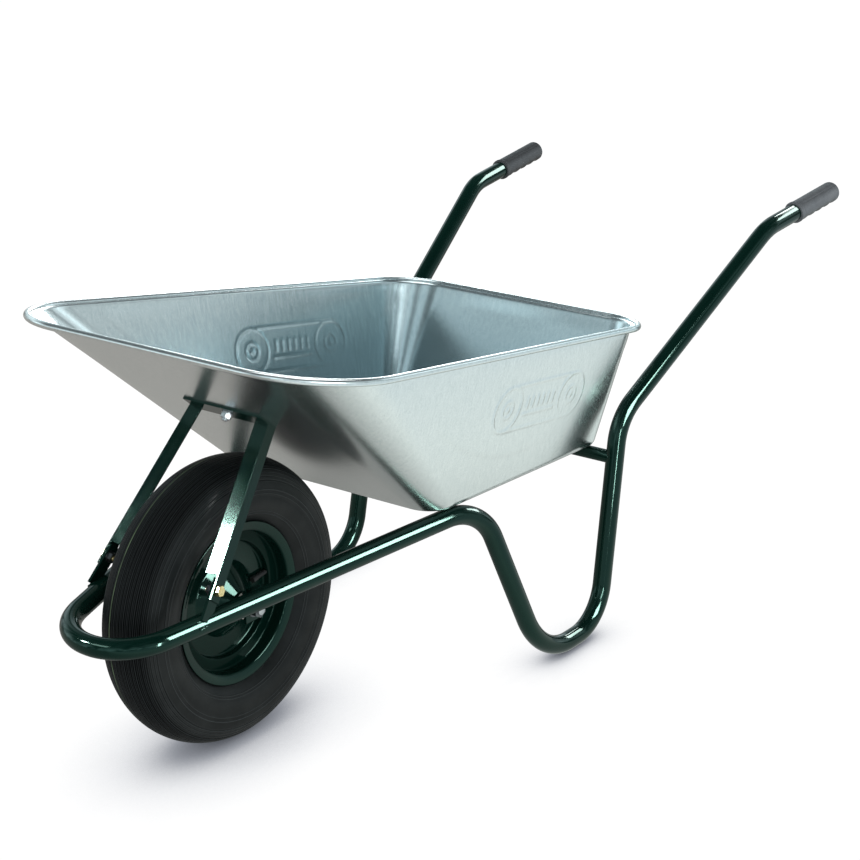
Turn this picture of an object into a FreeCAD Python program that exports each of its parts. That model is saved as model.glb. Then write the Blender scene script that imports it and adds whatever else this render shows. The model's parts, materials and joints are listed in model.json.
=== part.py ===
import FreeCAD, Part
import math
import os
import Sketcher

# Garden wheelbarrow: one bent tube frame, a pressed sheet tub, a pneumatic wheel on a fixed axle.
# Millimetres. +Z up, the wheel towards -Y, the handles towards +Y, X across.
# The origin lies on the ground under the middle of the overall length.
SIZES = {
    # frame tube: corner points of its centreline, and the bend at each corner
    "tube_radius": 14.0,
    "tube_wall": 1.5,
    "nose_y": -707.5,
    "nose_height": 225.5,
    "nose_half_width": 63.6,
    "nose_bend": 80.0,
    "knee_half_width": 204.3,
    "knee_y": -148.4,
    "knee_height": 281.5,
    "knee_bend": 80.0,
    "foot_half_width": 241.0,
    "foot_front_y": -47.3,
    "foot_rear_y": 107.4,
    "foot_front_bend": 106.0,
    "foot_rear_bend": 74.0,
    "back_half_width": 234.6,
    "back_y": 166.9,
    "back_height": 324.3,
    "back_bend": 90.0,
    "wrist_half_width": 284.3,
    "wrist_y": 516.9,
    "wrist_height": 551.7,
    "wrist_bend": 90.0,
    "grip_half_width": 294.3,
    "grip_end_y": 715.3,
    "grip_end_height": 574.7,
    # cross tube between the rear legs
    "cross_radius": 10.0,
    "cross_wall": 1.5,
    "cross_y": 152.5,
    "cross_height": 265.8,
    "cross_half_length": 233.0,
    # grips
    "grip_length": 122.0,
    "grip_radius": 16.8,
    "grip_collar_radius": 17.6,
    "grip_collar_length": 6.0,
    "grip_end_wall": 5.0,
    "grip_round": 7.0,
    # tub: floor outline, rim outline, both in planes that rise towards the wheel
    "sheet": 1.0,
    "floor_half_width": 202.0,
    "floor_front_y": -243.0,
    "floor_rear_y": 166.0,
    "floor_height": 282.5,
    "floor_rise": 2.3,
    "floor_front_corner": 38.0,
    "floor_rear_corner": 40.0,
    "floor_edge_round": 9.0,
    "rim_front_half_width": 299.0,
    "rim_rear_half_width": 237.0,
    "rim_front_y": -588.9,
    "rim_rear_y": 263.9,
    "rim_height": 490.0,
    "rim_rise": 9.09,
    "rim_front_corner": 127.0,
    "rim_rear_corner": 83.0,
    "rim_lip": 9.0,
    "bead_radius": 5.0,
    # wheel
    "wheel_y": -462.6,
    "wheel_radius": 200.0,
    "tyre_half_width": 47.0,
    "tread_half_width": 36.0,
    "shoulder_radius": 189.0,
    "sidewall_bulge": 46.0,
    "bead_seat": 101.5,
    "bead_inner_x": 19.0,
    "bead_outer_x": 28.0,
    "bead_top": 114.5,
    "bead_top_x": 31.0,
    "cavity_ring": 151.0,
    "cavity_radius": 38.0,
    "inner_tube_wall": 2.5,
    "gap": 0.4,
    "rim_sheet": 1.8,
    "flange_radius": 113.5,
    "flange_x": 33.5,
    "seat_x": 30.0,
    "well_radius": 84.0,
    "well_half_width": 12.0,
    "cone_radius": 53.0,
    "cone_x": 32.0,
    "hub_radius": 17.5,
    "hub_bore": 15.0,
    "hub_half_length": 40.0,
    "bush_flange": 19.0,
    "bush_flange_length": 3.0,
    "bush_length": 22.0,
    "bush_bore": 6.06,
    "valve_radius": 3.5,
    "valve_hole": 3.8,
    "valve_x": 6.2,
    "valve_tip": 64.0,
    "valve_angle": 8.0,
    "valve_cap_radius": 4.3,
    "valve_cap_length": 9.0,
    # axle and its brackets
    "axle_radius": 6.0,
    "axle_half_length": 72.0,
    "spacer_radius": 10.0,
    "bracket_x": 52.0,
    "bracket_sheet": 5.0,
    "bracket_width": 30.0,
    "bracket_drop": 18.0,
    "bracket_rise": 27.0,
    "strap_length": 66.0,
    "strap_slope": 17.0,
    # front stay: two angle legs and a cross strip against the front wall of the tub
    "stay_foot_x": 76.0,
    "stay_foot_y": -570.0,
    "stay_foot_height": 294.7,
    "stay_head_x": 52.0,
    "stay_head_y": -454.1,
    "stay_head_height": 430.6,
    "stay_sheet": 2.5,
    "stay_flange": 22.0,
    "stay_web": 18.0,
    "stay_tail": 34.0,
    "strip_half_width": 70.0,
    "strip_width": 30.0,
    "strip_sheet": 3.0,
    "lug_sheet": 4.0,
    "lug_length": 62.0,
    "lug_bolt_drop": 19.0,
    # fasteners
    "small_bolt_radius": 4.0,
    "small_head_flats": 13.0,
    "small_head": 5.3,
    "small_nut": 6.5,
    "small_washer_radius": 8.0,
    "small_washer": 1.6,
    "thread_spare": 4.8,
    "axle_nut_flats": 19.0,
    "axle_nut": 10.0,
    "axle_washer_radius": 12.0,
    "axle_washer": 2.5,
    "tub_bolt_x": 120.0,
    "front_bolt_y": -432.5,
    "front_seat": 1.4,
}

doc = FreeCAD.newDocument("wheelbarrow")
sheet = doc.addObject("Spreadsheet::Sheet", "Sizes")
for row, (alias, number) in enumerate(SIZES.items(), start=1):
    sheet.set("A%d" % row, alias)
    sheet.set("B%d" % row, str(number))
    sheet.setAlias("B%d" % row, alias)
doc.recompute()

NODES = []
FULL_TURN = 360.0
HALF_TURN = 180.0
HEX_SIDES = 6
HEX_FLATS_PER_RADIUS = math.sqrt(3.0)
# points nearer than this are the same point
TOUCHING = 1e-6
# an edge this near a plane lies in it
ON_PLANE = 0.05
# a cutting tool runs this many thicknesses of what it cuts
TOOL_REACH = 3
# the stay's blanks are this much longer than the leg, then trimmed at the tub
STAY_OVERRUN = 1.6
ROOM_SCALE = 4
RIGHT = 1
LEFT = -1
MINOR = 1
MAJOR = -1
SIDES = ((LEFT, "left"), (RIGHT, "right"))
X_AXIS = FreeCAD.Vector(1, 0, 0)
Y_AXIS = FreeCAD.Vector(0, 1, 0)
Z_AXIS = FreeCAD.Vector(0, 0, 1)


class Size:
    """A length that knows both its number and the spreadsheet expression behind it."""

    def __init__(self, number, text):
        self.number = float(number)
        self.text = text

    def __add__(self, other):
        other = as_size(other)
        return Size(self.number + other.number, "(%s + %s)" % (self.text, other.text))

    def __sub__(self, other):
        other = as_size(other)
        return Size(self.number - other.number, "(%s - %s)" % (self.text, other.text))

    def __mul__(self, other):
        other = as_size(other)
        return Size(self.number * other.number, "(%s * %s)" % (self.text, other.text))

    def __truediv__(self, other):
        other = as_size(other)
        return Size(self.number / other.number, "(%s / %s)" % (self.text, other.text))

    def __neg__(self):
        return Size(-self.number, "(0 - %s)" % self.text)


def as_size(value):
    if isinstance(value, Size):
        return value
    return Size(value, repr(float(value)))


def size(alias):
    """The named cell of the spreadsheet, as a Size."""
    return Size(sheet.get(alias), "Sizes." + alias)


def number(alias):
    """The named cell of the spreadsheet, as a plain number."""
    return float(sheet.get(alias))


def bind(thing, **sizes):
    """Bind properties of a document object to spreadsheet expressions."""
    for name, value in sizes.items():
        thing.setExpression(name, as_size(value).text)


def node(thing, name, placement=None):
    """Register a finished sub-part: its Label names its file."""
    if placement is not None:
        thing.Placement = placement
    thing.Label = name
    NODES.append(thing)
    return thing


def place(position, turn=None):
    return FreeCAD.Placement(FreeCAD.Vector(*position), turn or FreeCAD.Rotation())


def box(name, length, width, height, corner=(0, 0, 0), frame=None):
    """A block whose low corner is given in the frame of its owner."""
    block = doc.addObject("Part::Box", name)
    bind(block, Length=length, Width=width, Height=height)
    local = place([as_size(value).number for value in corner])
    block.Placement = (frame or FreeCAD.Placement()).multiply(local)
    return block


def cylinder(name, radius, height, base=(0, 0, 0), axis=Z_AXIS, frame=None):
    rod = doc.addObject("Part::Cylinder", name)
    bind(rod, Radius=radius, Height=height)
    local = place([as_size(value).number for value in base], FreeCAD.Rotation(Z_AXIS, axis))
    rod.Placement = (frame or FreeCAD.Placement()).multiply(local)
    return rod


def prism(name, flats, height, base=(0, 0, 0), axis=Z_AXIS, frame=None):
    """A hexagonal bolt head or nut, measured across its flats."""
    block = doc.addObject("Part::Prism", name)
    block.Polygon = HEX_SIDES
    bind(block, Circumradius=as_size(flats) / HEX_FLATS_PER_RADIUS, Height=height)
    local = place([as_size(value).number for value in base], FreeCAD.Rotation(Z_AXIS, axis))
    block.Placement = (frame or FreeCAD.Placement()).multiply(local)
    return block


def cut(name, base, tool):
    result = doc.addObject("Part::Cut", name)
    result.Base = base
    result.Tool = tool
    return result


def fuse(name, *shapes):
    result = doc.addObject("Part::MultiFuse", name)
    result.Shapes = list(shapes)
    result.Refine = True
    return result


def group(name, shapes):
    """Several separate solids of one kind in one node."""
    result = doc.addObject("Part::Compound", name)
    result.Links = list(shapes)
    return result


def origin_plane(body, role):
    return next(item for item in body.Origin.OriginFeatures if item.Role == role)


def new_sketch(body, name, role, offset=None):
    sketch = body.newObject("Sketcher::SketchObject", name)
    sketch.AttachmentSupport = [(origin_plane(body, role), "")]
    sketch.MapMode = "FlatFace"
    if offset is not None:
        sketch.AttachmentOffset = offset
    return sketch


def fix_point(sketch, geometry, vertex, point):
    """Hold one vertex at a place given by two spreadsheet expressions."""
    for kind, coordinate in zip(("DistanceX", "DistanceY"), point):
        coordinate = as_size(coordinate)
        index = sketch.addConstraint(
            Sketcher.Constraint(kind, geometry, vertex, coordinate.number))
        sketch.setExpression("Constraints[%d]" % index, coordinate.text)


def flat_vector(point):
    return FreeCAD.Vector(as_size(point[0]).number, as_size(point[1]).number, 0)


def outline(sketch, points, arcs=None):
    """A closed outline through the points.

    arcs maps the number of a span to (radius, side, part): that span is an arc, and side
    is +1 when its centre lies to the left of the way from its first point to its second.
    part is MINOR or MAJOR: which of the circle's two arcs between the points it is.
    """
    arcs = arcs or {}
    count = len(points)
    for span in range(count):
        start = flat_vector(points[span])
        end = flat_vector(points[(span + 1) % count])
        if span in arcs:
            radius, side, part = arcs[span]
            chord = end - start
            rise = math.sqrt(radius.number ** 2 - (chord.Length / 2) ** 2)
            left = FreeCAD.Vector(-chord.y, chord.x, 0).normalize()
            centre = (start + end) * 0.5 + left * (rise * side)
            middle = centre - left * (side * part * radius.number)
            geometry = Part.Arc(start, middle, end)
        else:
            geometry = Part.LineSegment(start, end)
        sketch.addGeometry(geometry, False)
    ends = []
    for span in range(count):
        start = flat_vector(points[span])
        first = sketch.getPoint(span, 1)
        forward = (first - start).Length < TOUCHING
        ends.append((1, 2) if forward else (2, 1))
        fix_point(sketch, span, ends[span][0], points[span])
        if span in arcs:
            index = sketch.addConstraint(
                Sketcher.Constraint("Radius", span, arcs[span][0].number))
            sketch.setExpression("Constraints[%d]" % index, arcs[span][0].text)
    for span in range(count):
        following = (span + 1) % count
        sketch.addConstraint(Sketcher.Constraint(
            "Coincident", span, ends[span][1], following, ends[following][0]))


def rounded_outline(sketch, corners, radii):
    """A closed outline of straight sides with a tangent arc at every corner."""
    count = len(corners)
    points = [flat_vector(corner) for corner in corners]
    joints = []
    for index in range(count):
        before = (points[index - 1] - points[index]).normalize()
        after = (points[(index + 1) % count] - points[index]).normalize()
        half = before.getAngle(after) / 2
        radius = radii[index].number
        reach = radius / math.tan(half)
        inward = (before + after).normalize()
        centre = points[index] + inward * (radius / math.sin(half))
        joints.append((points[index] + before * reach, centre - inward * radius,
                       points[index] + after * reach))
    for index in range(count):
        following = (index + 1) % count
        sketch.addGeometry(Part.LineSegment(joints[index][2], joints[following][0]), False)
    for start, middle, end in joints:
        sketch.addGeometry(Part.Arc(start, middle, end), False)
    for point in points:
        sketch.addGeometry(Part.Point(point), True)
    for index in range(count):
        corner = 2 * count + index
        fix_point(sketch, corner, 1, corners[index])
    for index in range(count):
        following = (index + 1) % count
        sketch.addConstraint(Sketcher.Constraint("PointOnObject", 2 * count + index, 1, index))
        sketch.addConstraint(
            Sketcher.Constraint("PointOnObject", 2 * count + following, 1, index))
    for index in range(count):
        arc = count + index
        start = sketch.getPoint(arc, 1)
        first, last = (1, 2) if (start - joints[index][0]).Length < TOUCHING else (2, 1)
        sketch.addConstraint(Sketcher.Constraint("Tangent", (index - 1) % count, 2, arc, first))
        sketch.addConstraint(Sketcher.Constraint("Tangent", index, 1, arc, last))
        radius = sketch.addConstraint(Sketcher.Constraint("Radius", arc, radii[index].number))
        sketch.setExpression("Constraints[%d]" % radius, radii[index].text)


def turned_body(name, points, arcs=None, axis="H_Axis"):
    """A body of revolution: the outline's first coordinate runs along the X axis."""
    body = doc.addObject("PartDesign::Body", name)
    sketch = new_sketch(body, name + "_outline", "XY_Plane")
    outline(sketch, points, arcs)
    turn = body.newObject("PartDesign::Revolution", name + "_turn")
    turn.Profile = sketch
    turn.ReferenceAxis = (sketch, [axis])
    turn.Angle = FULL_TURN
    return body


# ---------------------------------------------------------------- frame tube


def mirrored(point):
    return FreeCAD.Vector(-point.x, point.y, point.z)


def frame_corners():
    """Corner points of the right half of the tube's centreline, from the nose to the grip."""
    rows = (
        ("nose_half_width", "nose_y", "nose_height", "nose_bend"),
        ("knee_half_width", "knee_y", "knee_height", "knee_bend"),
        ("foot_half_width", "foot_front_y", "tube_radius", "foot_front_bend"),
        ("foot_half_width", "foot_rear_y", "tube_radius", "foot_rear_bend"),
        ("back_half_width", "back_y", "back_height", "back_bend"),
        ("wrist_half_width", "wrist_y", "wrist_height", "wrist_bend"),
    )
    corners = [FreeCAD.Vector(*[number(alias) for alias in row[:3]]) for row in rows]
    bends = [number(row[3]) for row in rows]
    end = FreeCAD.Vector(number("grip_half_width"), number("grip_end_y"),
                         number("grip_end_height"))
    return corners, bends, end


def bent_wire(points, bends):
    """Straight runs joined by tangent arcs; bends holds one radius per inner point."""
    edges = []
    start = points[0]
    for before, corner, after, radius in zip(points, points[1:], points[2:], bends):
        to_before = (before - corner).normalize()
        to_after = (after - corner).normalize()
        half = to_before.getAngle(to_after) / 2
        reach = radius / math.tan(half)
        inward = (to_before + to_after).normalize()
        middle = corner + inward * (radius / math.sin(half) - radius)
        arc_start = corner + to_before * reach
        arc_end = corner + to_after * reach
        edges.append(Part.makeLine(start, arc_start))
        edges.append(Part.Arc(arc_start, middle, arc_end).toShape())
        start = arc_end
    edges.append(Part.makeLine(start, points[-1]))
    return Part.Wire(edges)


def swept_circle(name, path, radius, start, direction):
    circle = doc.addObject("Part::Circle", name + "_section")
    bind(circle, Radius=radius)
    circle.Placement = FreeCAD.Placement(start, FreeCAD.Rotation(Z_AXIS, direction))
    sweep = doc.addObject("Part::Sweep", name)
    sweep.Sections = [circle]
    sweep.Spine = (path, ["Edge%d" % (index + 1) for index in range(len(path.Shape.Edges))])
    sweep.Solid = True
    sweep.Frenet = False
    return sweep


def make_frame_tube():
    corners, bends, end = frame_corners()
    points = [mirrored(end)]
    points += [mirrored(corner) for corner in reversed(corners)]
    points += corners + [end]
    path = doc.addObject("Part::Feature", "frame_path")
    path.Shape = bent_wire(points, list(reversed(bends)) + bends)
    direction = points[1] - points[0]
    outer = swept_circle("frame_outside", path, size("tube_radius"), points[0], direction)
    inner = swept_circle("frame_bore", path, size("tube_radius") - size("tube_wall"),
                         points[0], direction)
    node(cut("frame_tube", outer, inner), "frame_tube")
    return outer


def make_cross_tube(frame_outside):
    """The rear cross tube, coped to the round of both legs."""
    half = size("cross_half_length")
    start = (-half, size("cross_y"), size("cross_height"))
    outside = cylinder("cross_outside", size("cross_radius"), half * 2, start, X_AXIS)
    bore = cylinder("cross_bore", size("cross_radius") - size("cross_wall"), half * 2,
                    start, X_AXIS)
    tube = cut("cross_hollow", outside, bore)
    coped = cut("cross_coped", tube, frame_outside)
    reach = size("cross_radius") * TOOL_REACH
    holes = []
    for side, name in SIDES:
        holes.append(cylinder("cross_hole_" + name, size("small_bolt_radius") + size("gap"),
                              reach, (0, 0, -reach), Z_AXIS, rear_bolt_frame(side)))
    node(cut("cross_tube", coped, group("cross_holes", holes)), "cross_tube")


def make_grip(side, name):
    """A plastic sleeve with a collar and a closed, rounded end, pushed over the tube."""
    wrist = FreeCAD.Vector(side * number("wrist_half_width"), number("wrist_y"),
                           number("wrist_height"))
    tip = FreeCAD.Vector(side * number("grip_half_width"), number("grip_end_y"),
                         number("grip_end_height"))
    length = size("grip_length")
    end_wall = size("grip_end_wall")
    collar = size("grip_collar_length")
    rounding = size("grip_round")
    bore = size("tube_radius")
    radius = size("grip_radius")
    points = [
        (end_wall - length, bore),
        (end_wall - length, size("grip_collar_radius")),
        (end_wall - length + collar, size("grip_collar_radius")),
        (end_wall - length + collar, radius),
        (end_wall - rounding, radius),
        (end_wall, radius - rounding),
        (end_wall, as_size(0)),
        (as_size(0), as_size(0)),
        (as_size(0), bore),
    ]
    body = turned_body("grip_" + name, points, {4: (rounding, -1, MINOR)})
    node(body, "grip_" + name, FreeCAD.Placement(tip, FreeCAD.Rotation(X_AXIS, tip - wrist)))


# ---------------------------------------------------------------- tub


def tilted(height, rise):
    """A plane that rises towards the wheel by the given angle, over the origin."""
    return place((0, 0, number(height)), FreeCAD.Rotation(X_AXIS, -number(rise)))


def tub_outlines():
    """Corner points of the floor and of the line round which the rim is rolled."""
    floor = size("floor_half_width")
    floor_corners = [
        (floor, size("floor_front_y")), (floor, size("floor_rear_y")),
        (-floor, size("floor_rear_y")), (-floor, size("floor_front_y"))]
    front = size("rim_front_half_width")
    rear = size("rim_rear_half_width")
    rim_corners = [
        (front, size("rim_front_y")), (rear, size("rim_rear_y")),
        (-rear, size("rim_rear_y")), (-front, size("rim_front_y"))]
    return floor_corners, rim_corners


def shrunk(corners, inset):
    """The outline's corners moved inwards on both coordinates."""
    moved = []
    for across, along in corners:
        new_across = across - inset if across.number > 0 else across + inset
        new_along = along - inset if along.number > 0 else along + inset
        moved.append((new_across, new_along))
    return moved


def corner_radii(prefix, inset):
    front = size(prefix + "_front_corner") - inset
    rear = size(prefix + "_rear_corner") - inset
    return [front, rear, rear, front]


def floor_edges(shape, lift):
    """Edges of the floor's outline, found by their distance from the floor's plane."""
    frame = tilted("floor_height", "floor_rise").inverse()
    found = []
    for index, edge in enumerate(shape.Edges, start=1):
        middle = frame.multVec(edge.valueAt((edge.FirstParameter + edge.LastParameter) / 2))
        ends = [frame.multVec(vertex.Point) for vertex in edge.Vertexes]
        if all(abs(point.z - lift) < ON_PLANE for point in ends + [middle]):
            found.append("Edge%d" % index)
    return found


def make_tub():
    """Pressed sheet: floor, four flared walls, a flat lip and a rolled bead all round."""
    floor_corners, rim_corners = tub_outlines()
    skin = size("sheet")
    lip = size("rim_lip")
    body = doc.addObject("PartDesign::Body", "tub_pressing")
    floor_plane = tilted("floor_height", "floor_rise")
    rim_plane = tilted("rim_height", "rim_rise")

    outer_floor = new_sketch(body, "outer_floor", "XY_Plane", floor_plane)
    rounded_outline(outer_floor, floor_corners, corner_radii("floor", as_size(0)))
    outer_mouth = new_sketch(body, "outer_mouth", "XY_Plane", rim_plane)
    rounded_outline(outer_mouth, shrunk(rim_corners, lip), corner_radii("rim", lip))
    block = body.newObject("PartDesign::AdditiveLoft", "tub_block")
    block.Profile = outer_floor
    block.Sections = [outer_mouth]
    block.Ruled = True

    raised = floor_plane.multiply(place((0, 0, skin.number)))
    inner_floor = new_sketch(body, "inner_floor", "XY_Plane", raised)
    rounded_outline(inner_floor, shrunk(floor_corners, skin), corner_radii("floor", skin))
    inner_mouth = new_sketch(body, "inner_mouth", "XY_Plane", rim_plane)
    rounded_outline(inner_mouth, shrunk(rim_corners, lip + skin), corner_radii("rim", lip + skin))
    hollow = body.newObject("PartDesign::SubtractiveLoft", "tub_hollow")
    hollow.Profile = inner_floor
    hollow.Sections = [inner_mouth]
    hollow.Ruled = True
    doc.recompute()

    rounding = body.newObject("PartDesign::Fillet", "floor_rounding")
    rounding.Base = (hollow, floor_edges(hollow.Shape, 0.0))
    bind(rounding, Radius=size("floor_edge_round") + skin)
    doc.recompute()
    inner_rounding = body.newObject("PartDesign::Fillet", "inner_floor_rounding")
    inner_rounding.Base = (rounding, floor_edges(rounding.Shape, skin.number))
    bind(inner_rounding, Radius=size("floor_edge_round"))

    lip_body = doc.addObject("PartDesign::Body", "tub_lip")
    ring = new_sketch(lip_body, "lip_outside", "XY_Plane", rim_plane)
    rounded_outline(ring, rim_corners, corner_radii("rim", as_size(0)))
    plate = lip_body.newObject("PartDesign::Pad", "lip_plate")
    plate.Profile = ring
    bind(plate, Length=skin)
    opening = new_sketch(lip_body, "lip_inside", "XY_Plane", rim_plane)
    rounded_outline(opening, shrunk(rim_corners, lip + skin), corner_radii("rim", lip + skin))
    mouth = lip_body.newObject("PartDesign::Pocket", "lip_mouth")
    mouth.Profile = opening
    mouth.Type = 1
    mouth.Midplane = True
    doc.recompute()

    bead = rolled_bead(ring)
    tub = fuse("tub_whole", body, lip_body, bead)
    bolt_holes = group("tub_bolt_holes", tub_hole_tools())
    node(cut("tub", tub, bolt_holes), "tub")


def rolled_bead(ring):
    """The hollow rolled edge that follows the rim outline."""
    radius = size("bead_radius")
    edge = ring.Shape.Edges[0]
    start = edge.valueAt(edge.FirstParameter)
    direction = edge.tangentAt(edge.FirstParameter)
    path = doc.addObject("Part::Feature", "bead_path")
    path.Shape = Part.Wire(Part.__sortEdges__(ring.Shape.Edges))
    outer = swept_circle("bead_outside", path, radius, start, direction)
    inner = swept_circle("bead_bore", path, radius - size("sheet"), start, direction)
    return cut("bead", outer, inner)


def rear_bolt_frame(side):
    """At the floor over the cross tube, Z square to the floor and pointing up."""
    plane = tilted("floor_height", "floor_rise")
    along = number("cross_y") / math.cos(math.radians(number("floor_rise")))
    return plane.multiply(place((side * number("tub_bolt_x"), along, 0)))


def front_wall_slope():
    """Angle of the front wall from level, from the floor's front edge to the mouth's."""
    floor_rise = math.radians(number("floor_rise"))
    rim_rise = math.radians(number("rim_rise"))
    mouth_front = number("rim_front_y") + number("rim_lip")
    low = (number("floor_front_y") * math.cos(floor_rise),
           number("floor_height") - number("floor_front_y") * math.sin(floor_rise))
    high = (mouth_front * math.cos(rim_rise),
            number("rim_height") - mouth_front * math.sin(rim_rise))
    return low, math.degrees(math.atan2(high[1] - low[1], low[0] - high[0]))


def front_wall_frame(along):
    """On the outside of the front wall: Y points up along it, Z out of the tub."""
    low, slope = front_wall_slope()
    height = low[1] + (low[0] - along) * math.tan(math.radians(slope))
    turn = FreeCAD.Rotation(X_AXIS, HALF_TURN - slope)
    return place((0, along, height), turn)


def tub_hole_tools():
    reach = size("sheet") * TOOL_REACH * 2
    hole = size("small_bolt_radius") + size("gap")
    tools = []
    for side, name in SIDES:
        tools.append(cylinder("rear_hole_" + name, hole, reach, (0, 0, -reach / 2),
                              Z_AXIS, rear_bolt_frame(side)))
    tools.append(cylinder("front_hole", hole, reach, (0, 0, -reach / 2), Z_AXIS,
                          front_wall_frame(number("front_bolt_y"))))
    return tools


# ---------------------------------------------------------------- wheel


def wheel_place():
    return place((0, number("wheel_y"), number("wheel_radius")))


def make_tyre():
    """Tubed cross-ply tyre: crowned tread, bulged sidewalls, two beads and a round cavity."""
    cavity = size("cavity_radius")
    bead_reach = math.sqrt(cavity.number ** 2 - number("bead_inner_x") ** 2)
    bead_inner = size("cavity_ring") - bead_reach
    shoulder = (size("tread_half_width"), size("shoulder_radius"))
    waist = (size("tyre_half_width"), size("cavity_ring"))
    bead_top = (size("bead_top_x"), size("bead_top"))
    bead_foot = (size("bead_outer_x"), size("bead_seat"))
    bead_toe = (size("bead_inner_x"), size("bead_seat"))
    bead_lip = (size("bead_inner_x"), bead_inner)
    right = [shoulder, waist, bead_top, bead_foot, bead_toe, bead_lip]
    left = [(-across, radius) for across, radius in reversed(right)]
    bulge = size("sidewall_bulge")
    half_tread = size("tread_half_width")
    crown = size("wheel_radius") - size("shoulder_radius")
    tread = (half_tread * half_tread + crown * crown) / (crown * 2)
    arcs = {
        0: (bulge, -1, MINOR),
        1: (bulge, -1, MINOR),
        5: (cavity, -1, MAJOR),
        9: (bulge, -1, MINOR),
        10: (bulge, -1, MINOR),
        11: (tread, -1, MINOR),
    }
    node(turned_body("tyre", right + left, arcs), "tyre", wheel_place())


def make_inner_tube():
    radius = size("cavity_radius") - size("gap")
    shell = []
    for name, minor in (("outside", radius), ("bore", radius - size("inner_tube_wall"))):
        ring = doc.addObject("Part::Torus", "inner_tube_" + name)
        bind(ring, Radius1=size("cavity_ring"), Radius2=minor)
        ring.Placement = place((0, number("wheel_y"), number("wheel_radius")),
                               FreeCAD.Rotation(Z_AXIS, X_AXIS))
        shell.append(ring)
    node(cut("inner_tube", *shell), "inner_tube")


def rim_points(side):
    """Section of one pressed rim half: hub cone, flat disc, drop well, bead seat, flange."""
    skin = size("rim_sheet")
    cone = size("cone_x")
    well = size("well_half_width")
    seat_x = size("seat_x")
    flange = size("flange_x")
    points = [
        (cone, size("hub_radius")),
        (cone + skin, size("hub_radius")),
        (skin, size("cone_radius") + skin / 2),
        (skin, size("well_radius") - skin),
        (well, size("well_radius") - skin),
        (well, size("bead_seat") - skin),
        (seat_x, size("bead_seat") - skin),
        (flange, size("flange_radius")),
        (flange - skin, size("flange_radius")),
        (seat_x - skin, size("bead_seat")),
        (well - skin, size("bead_seat")),
        (well - skin, size("well_radius")),
        (as_size(0), size("well_radius")),
        (as_size(0), size("cone_radius")),
    ]
    return [(across * side, radius) for across, radius in points]


def valve_frame():
    """At the wheel's centre, Z along the valve and pointing out towards the tyre."""
    turn = FreeCAD.Rotation(X_AXIS, number("valve_angle") - HALF_TURN / 2)
    return wheel_place().multiply(place((0, 0, 0), turn))


def make_rims():
    for side, name in SIDES:
        rim = turned_body("rim_pressing_" + name, rim_points(side))
        rim.Placement = wheel_place()
        if side == RIGHT:
            hole = cylinder("valve_hole_tool", size("valve_hole"), size("bead_seat"),
                            (size("valve_x"), 0, size("cone_radius")), Z_AXIS, valve_frame())
            rim = cut("rim_half_" + name, rim, hole)
        node(rim, "rim_half_" + name)


def make_valve():
    tip = size("valve_tip")
    foot = size("cavity_ring") - size("cavity_radius") + size("gap")
    node(cylinder("valve_stem", size("valve_radius"), foot - tip, (size("valve_x"), 0, tip),
                  Z_AXIS, valve_frame()), "valve_stem")
    cap_length = size("valve_cap_length")
    node(cylinder("valve_cap", size("valve_cap_radius"), cap_length,
                  (size("valve_x"), 0, tip - cap_length), Z_AXIS, valve_frame()), "valve_cap")


def ring_along_x(name, outer, inner, start, length):
    """A plain ring round the axle line, from start, running along +X."""
    base = (start, size("wheel_y"), size("wheel_radius"))
    outside = cylinder(name + "_outside", outer, length, base, X_AXIS)
    bore = cylinder(name + "_bore", inner, length, base, X_AXIS)
    return cut(name, outside, bore)


def across(start, length, side):
    """The low end of a span that starts at a distance from the middle, on either side."""
    return start if side == RIGHT else -(start + length)


def make_hub():
    half = size("hub_half_length")
    node(ring_along_x("hub_tube", size("hub_radius"), size("hub_bore"), -half, half * 2),
         "hub_tube")
    flange = size("bush_flange_length")
    for side, name in SIDES:
        points = [
            (half - size("bush_length"), size("bush_bore")),
            (half + flange, size("bush_bore")),
            (half + flange, size("bush_flange")),
            (half, size("bush_flange")),
            (half, size("hub_bore")),
            (half - size("bush_length"), size("hub_bore")),
        ]
        points = [(along * side, radius) for along, radius in points]
        node(turned_body("hub_bush_" + name, points), "hub_bush_" + name, wheel_place())


# ---------------------------------------------------------------- axle


def make_axle():
    half = size("axle_half_length")
    node(cylinder("axle", size("axle_radius"), half * 2,
                  (-half, size("wheel_y"), size("wheel_radius")), X_AXIS), "axle")
    bush_face = size("hub_half_length") + size("bush_flange_length") + size("gap")
    bracket = size("bracket_x")
    washer_face = bracket + size("bracket_sheet")
    washers = []
    nuts = []
    for side, name in SIDES:
        length = bracket - bush_face
        node(ring_along_x("axle_spacer_" + name, size("spacer_radius"), size("axle_radius"),
                          across(bush_face, length, side), length), "axle_spacer_" + name)
        washer = size("axle_washer")
        washers.append(ring_along_x("axle_washer_" + name, size("axle_washer_radius"),
                                    size("axle_radius"), across(washer_face, washer, side),
                                    washer))
        thick = size("axle_nut")
        base = (across(washer_face + washer, thick, side), size("wheel_y"),
                size("wheel_radius"))
        nut = prism("axle_nut_body_" + name, size("axle_nut_flats"), thick, base, X_AXIS)
        bore = cylinder("axle_nut_bore_" + name, size("axle_radius"), thick, base, X_AXIS)
        nuts.append(cut("axle_nut_" + name, nut, bore))
    node(group("axle_washers", washers), "axle_washers")
    node(group("axle_nuts", nuts), "axle_nuts")


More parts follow.
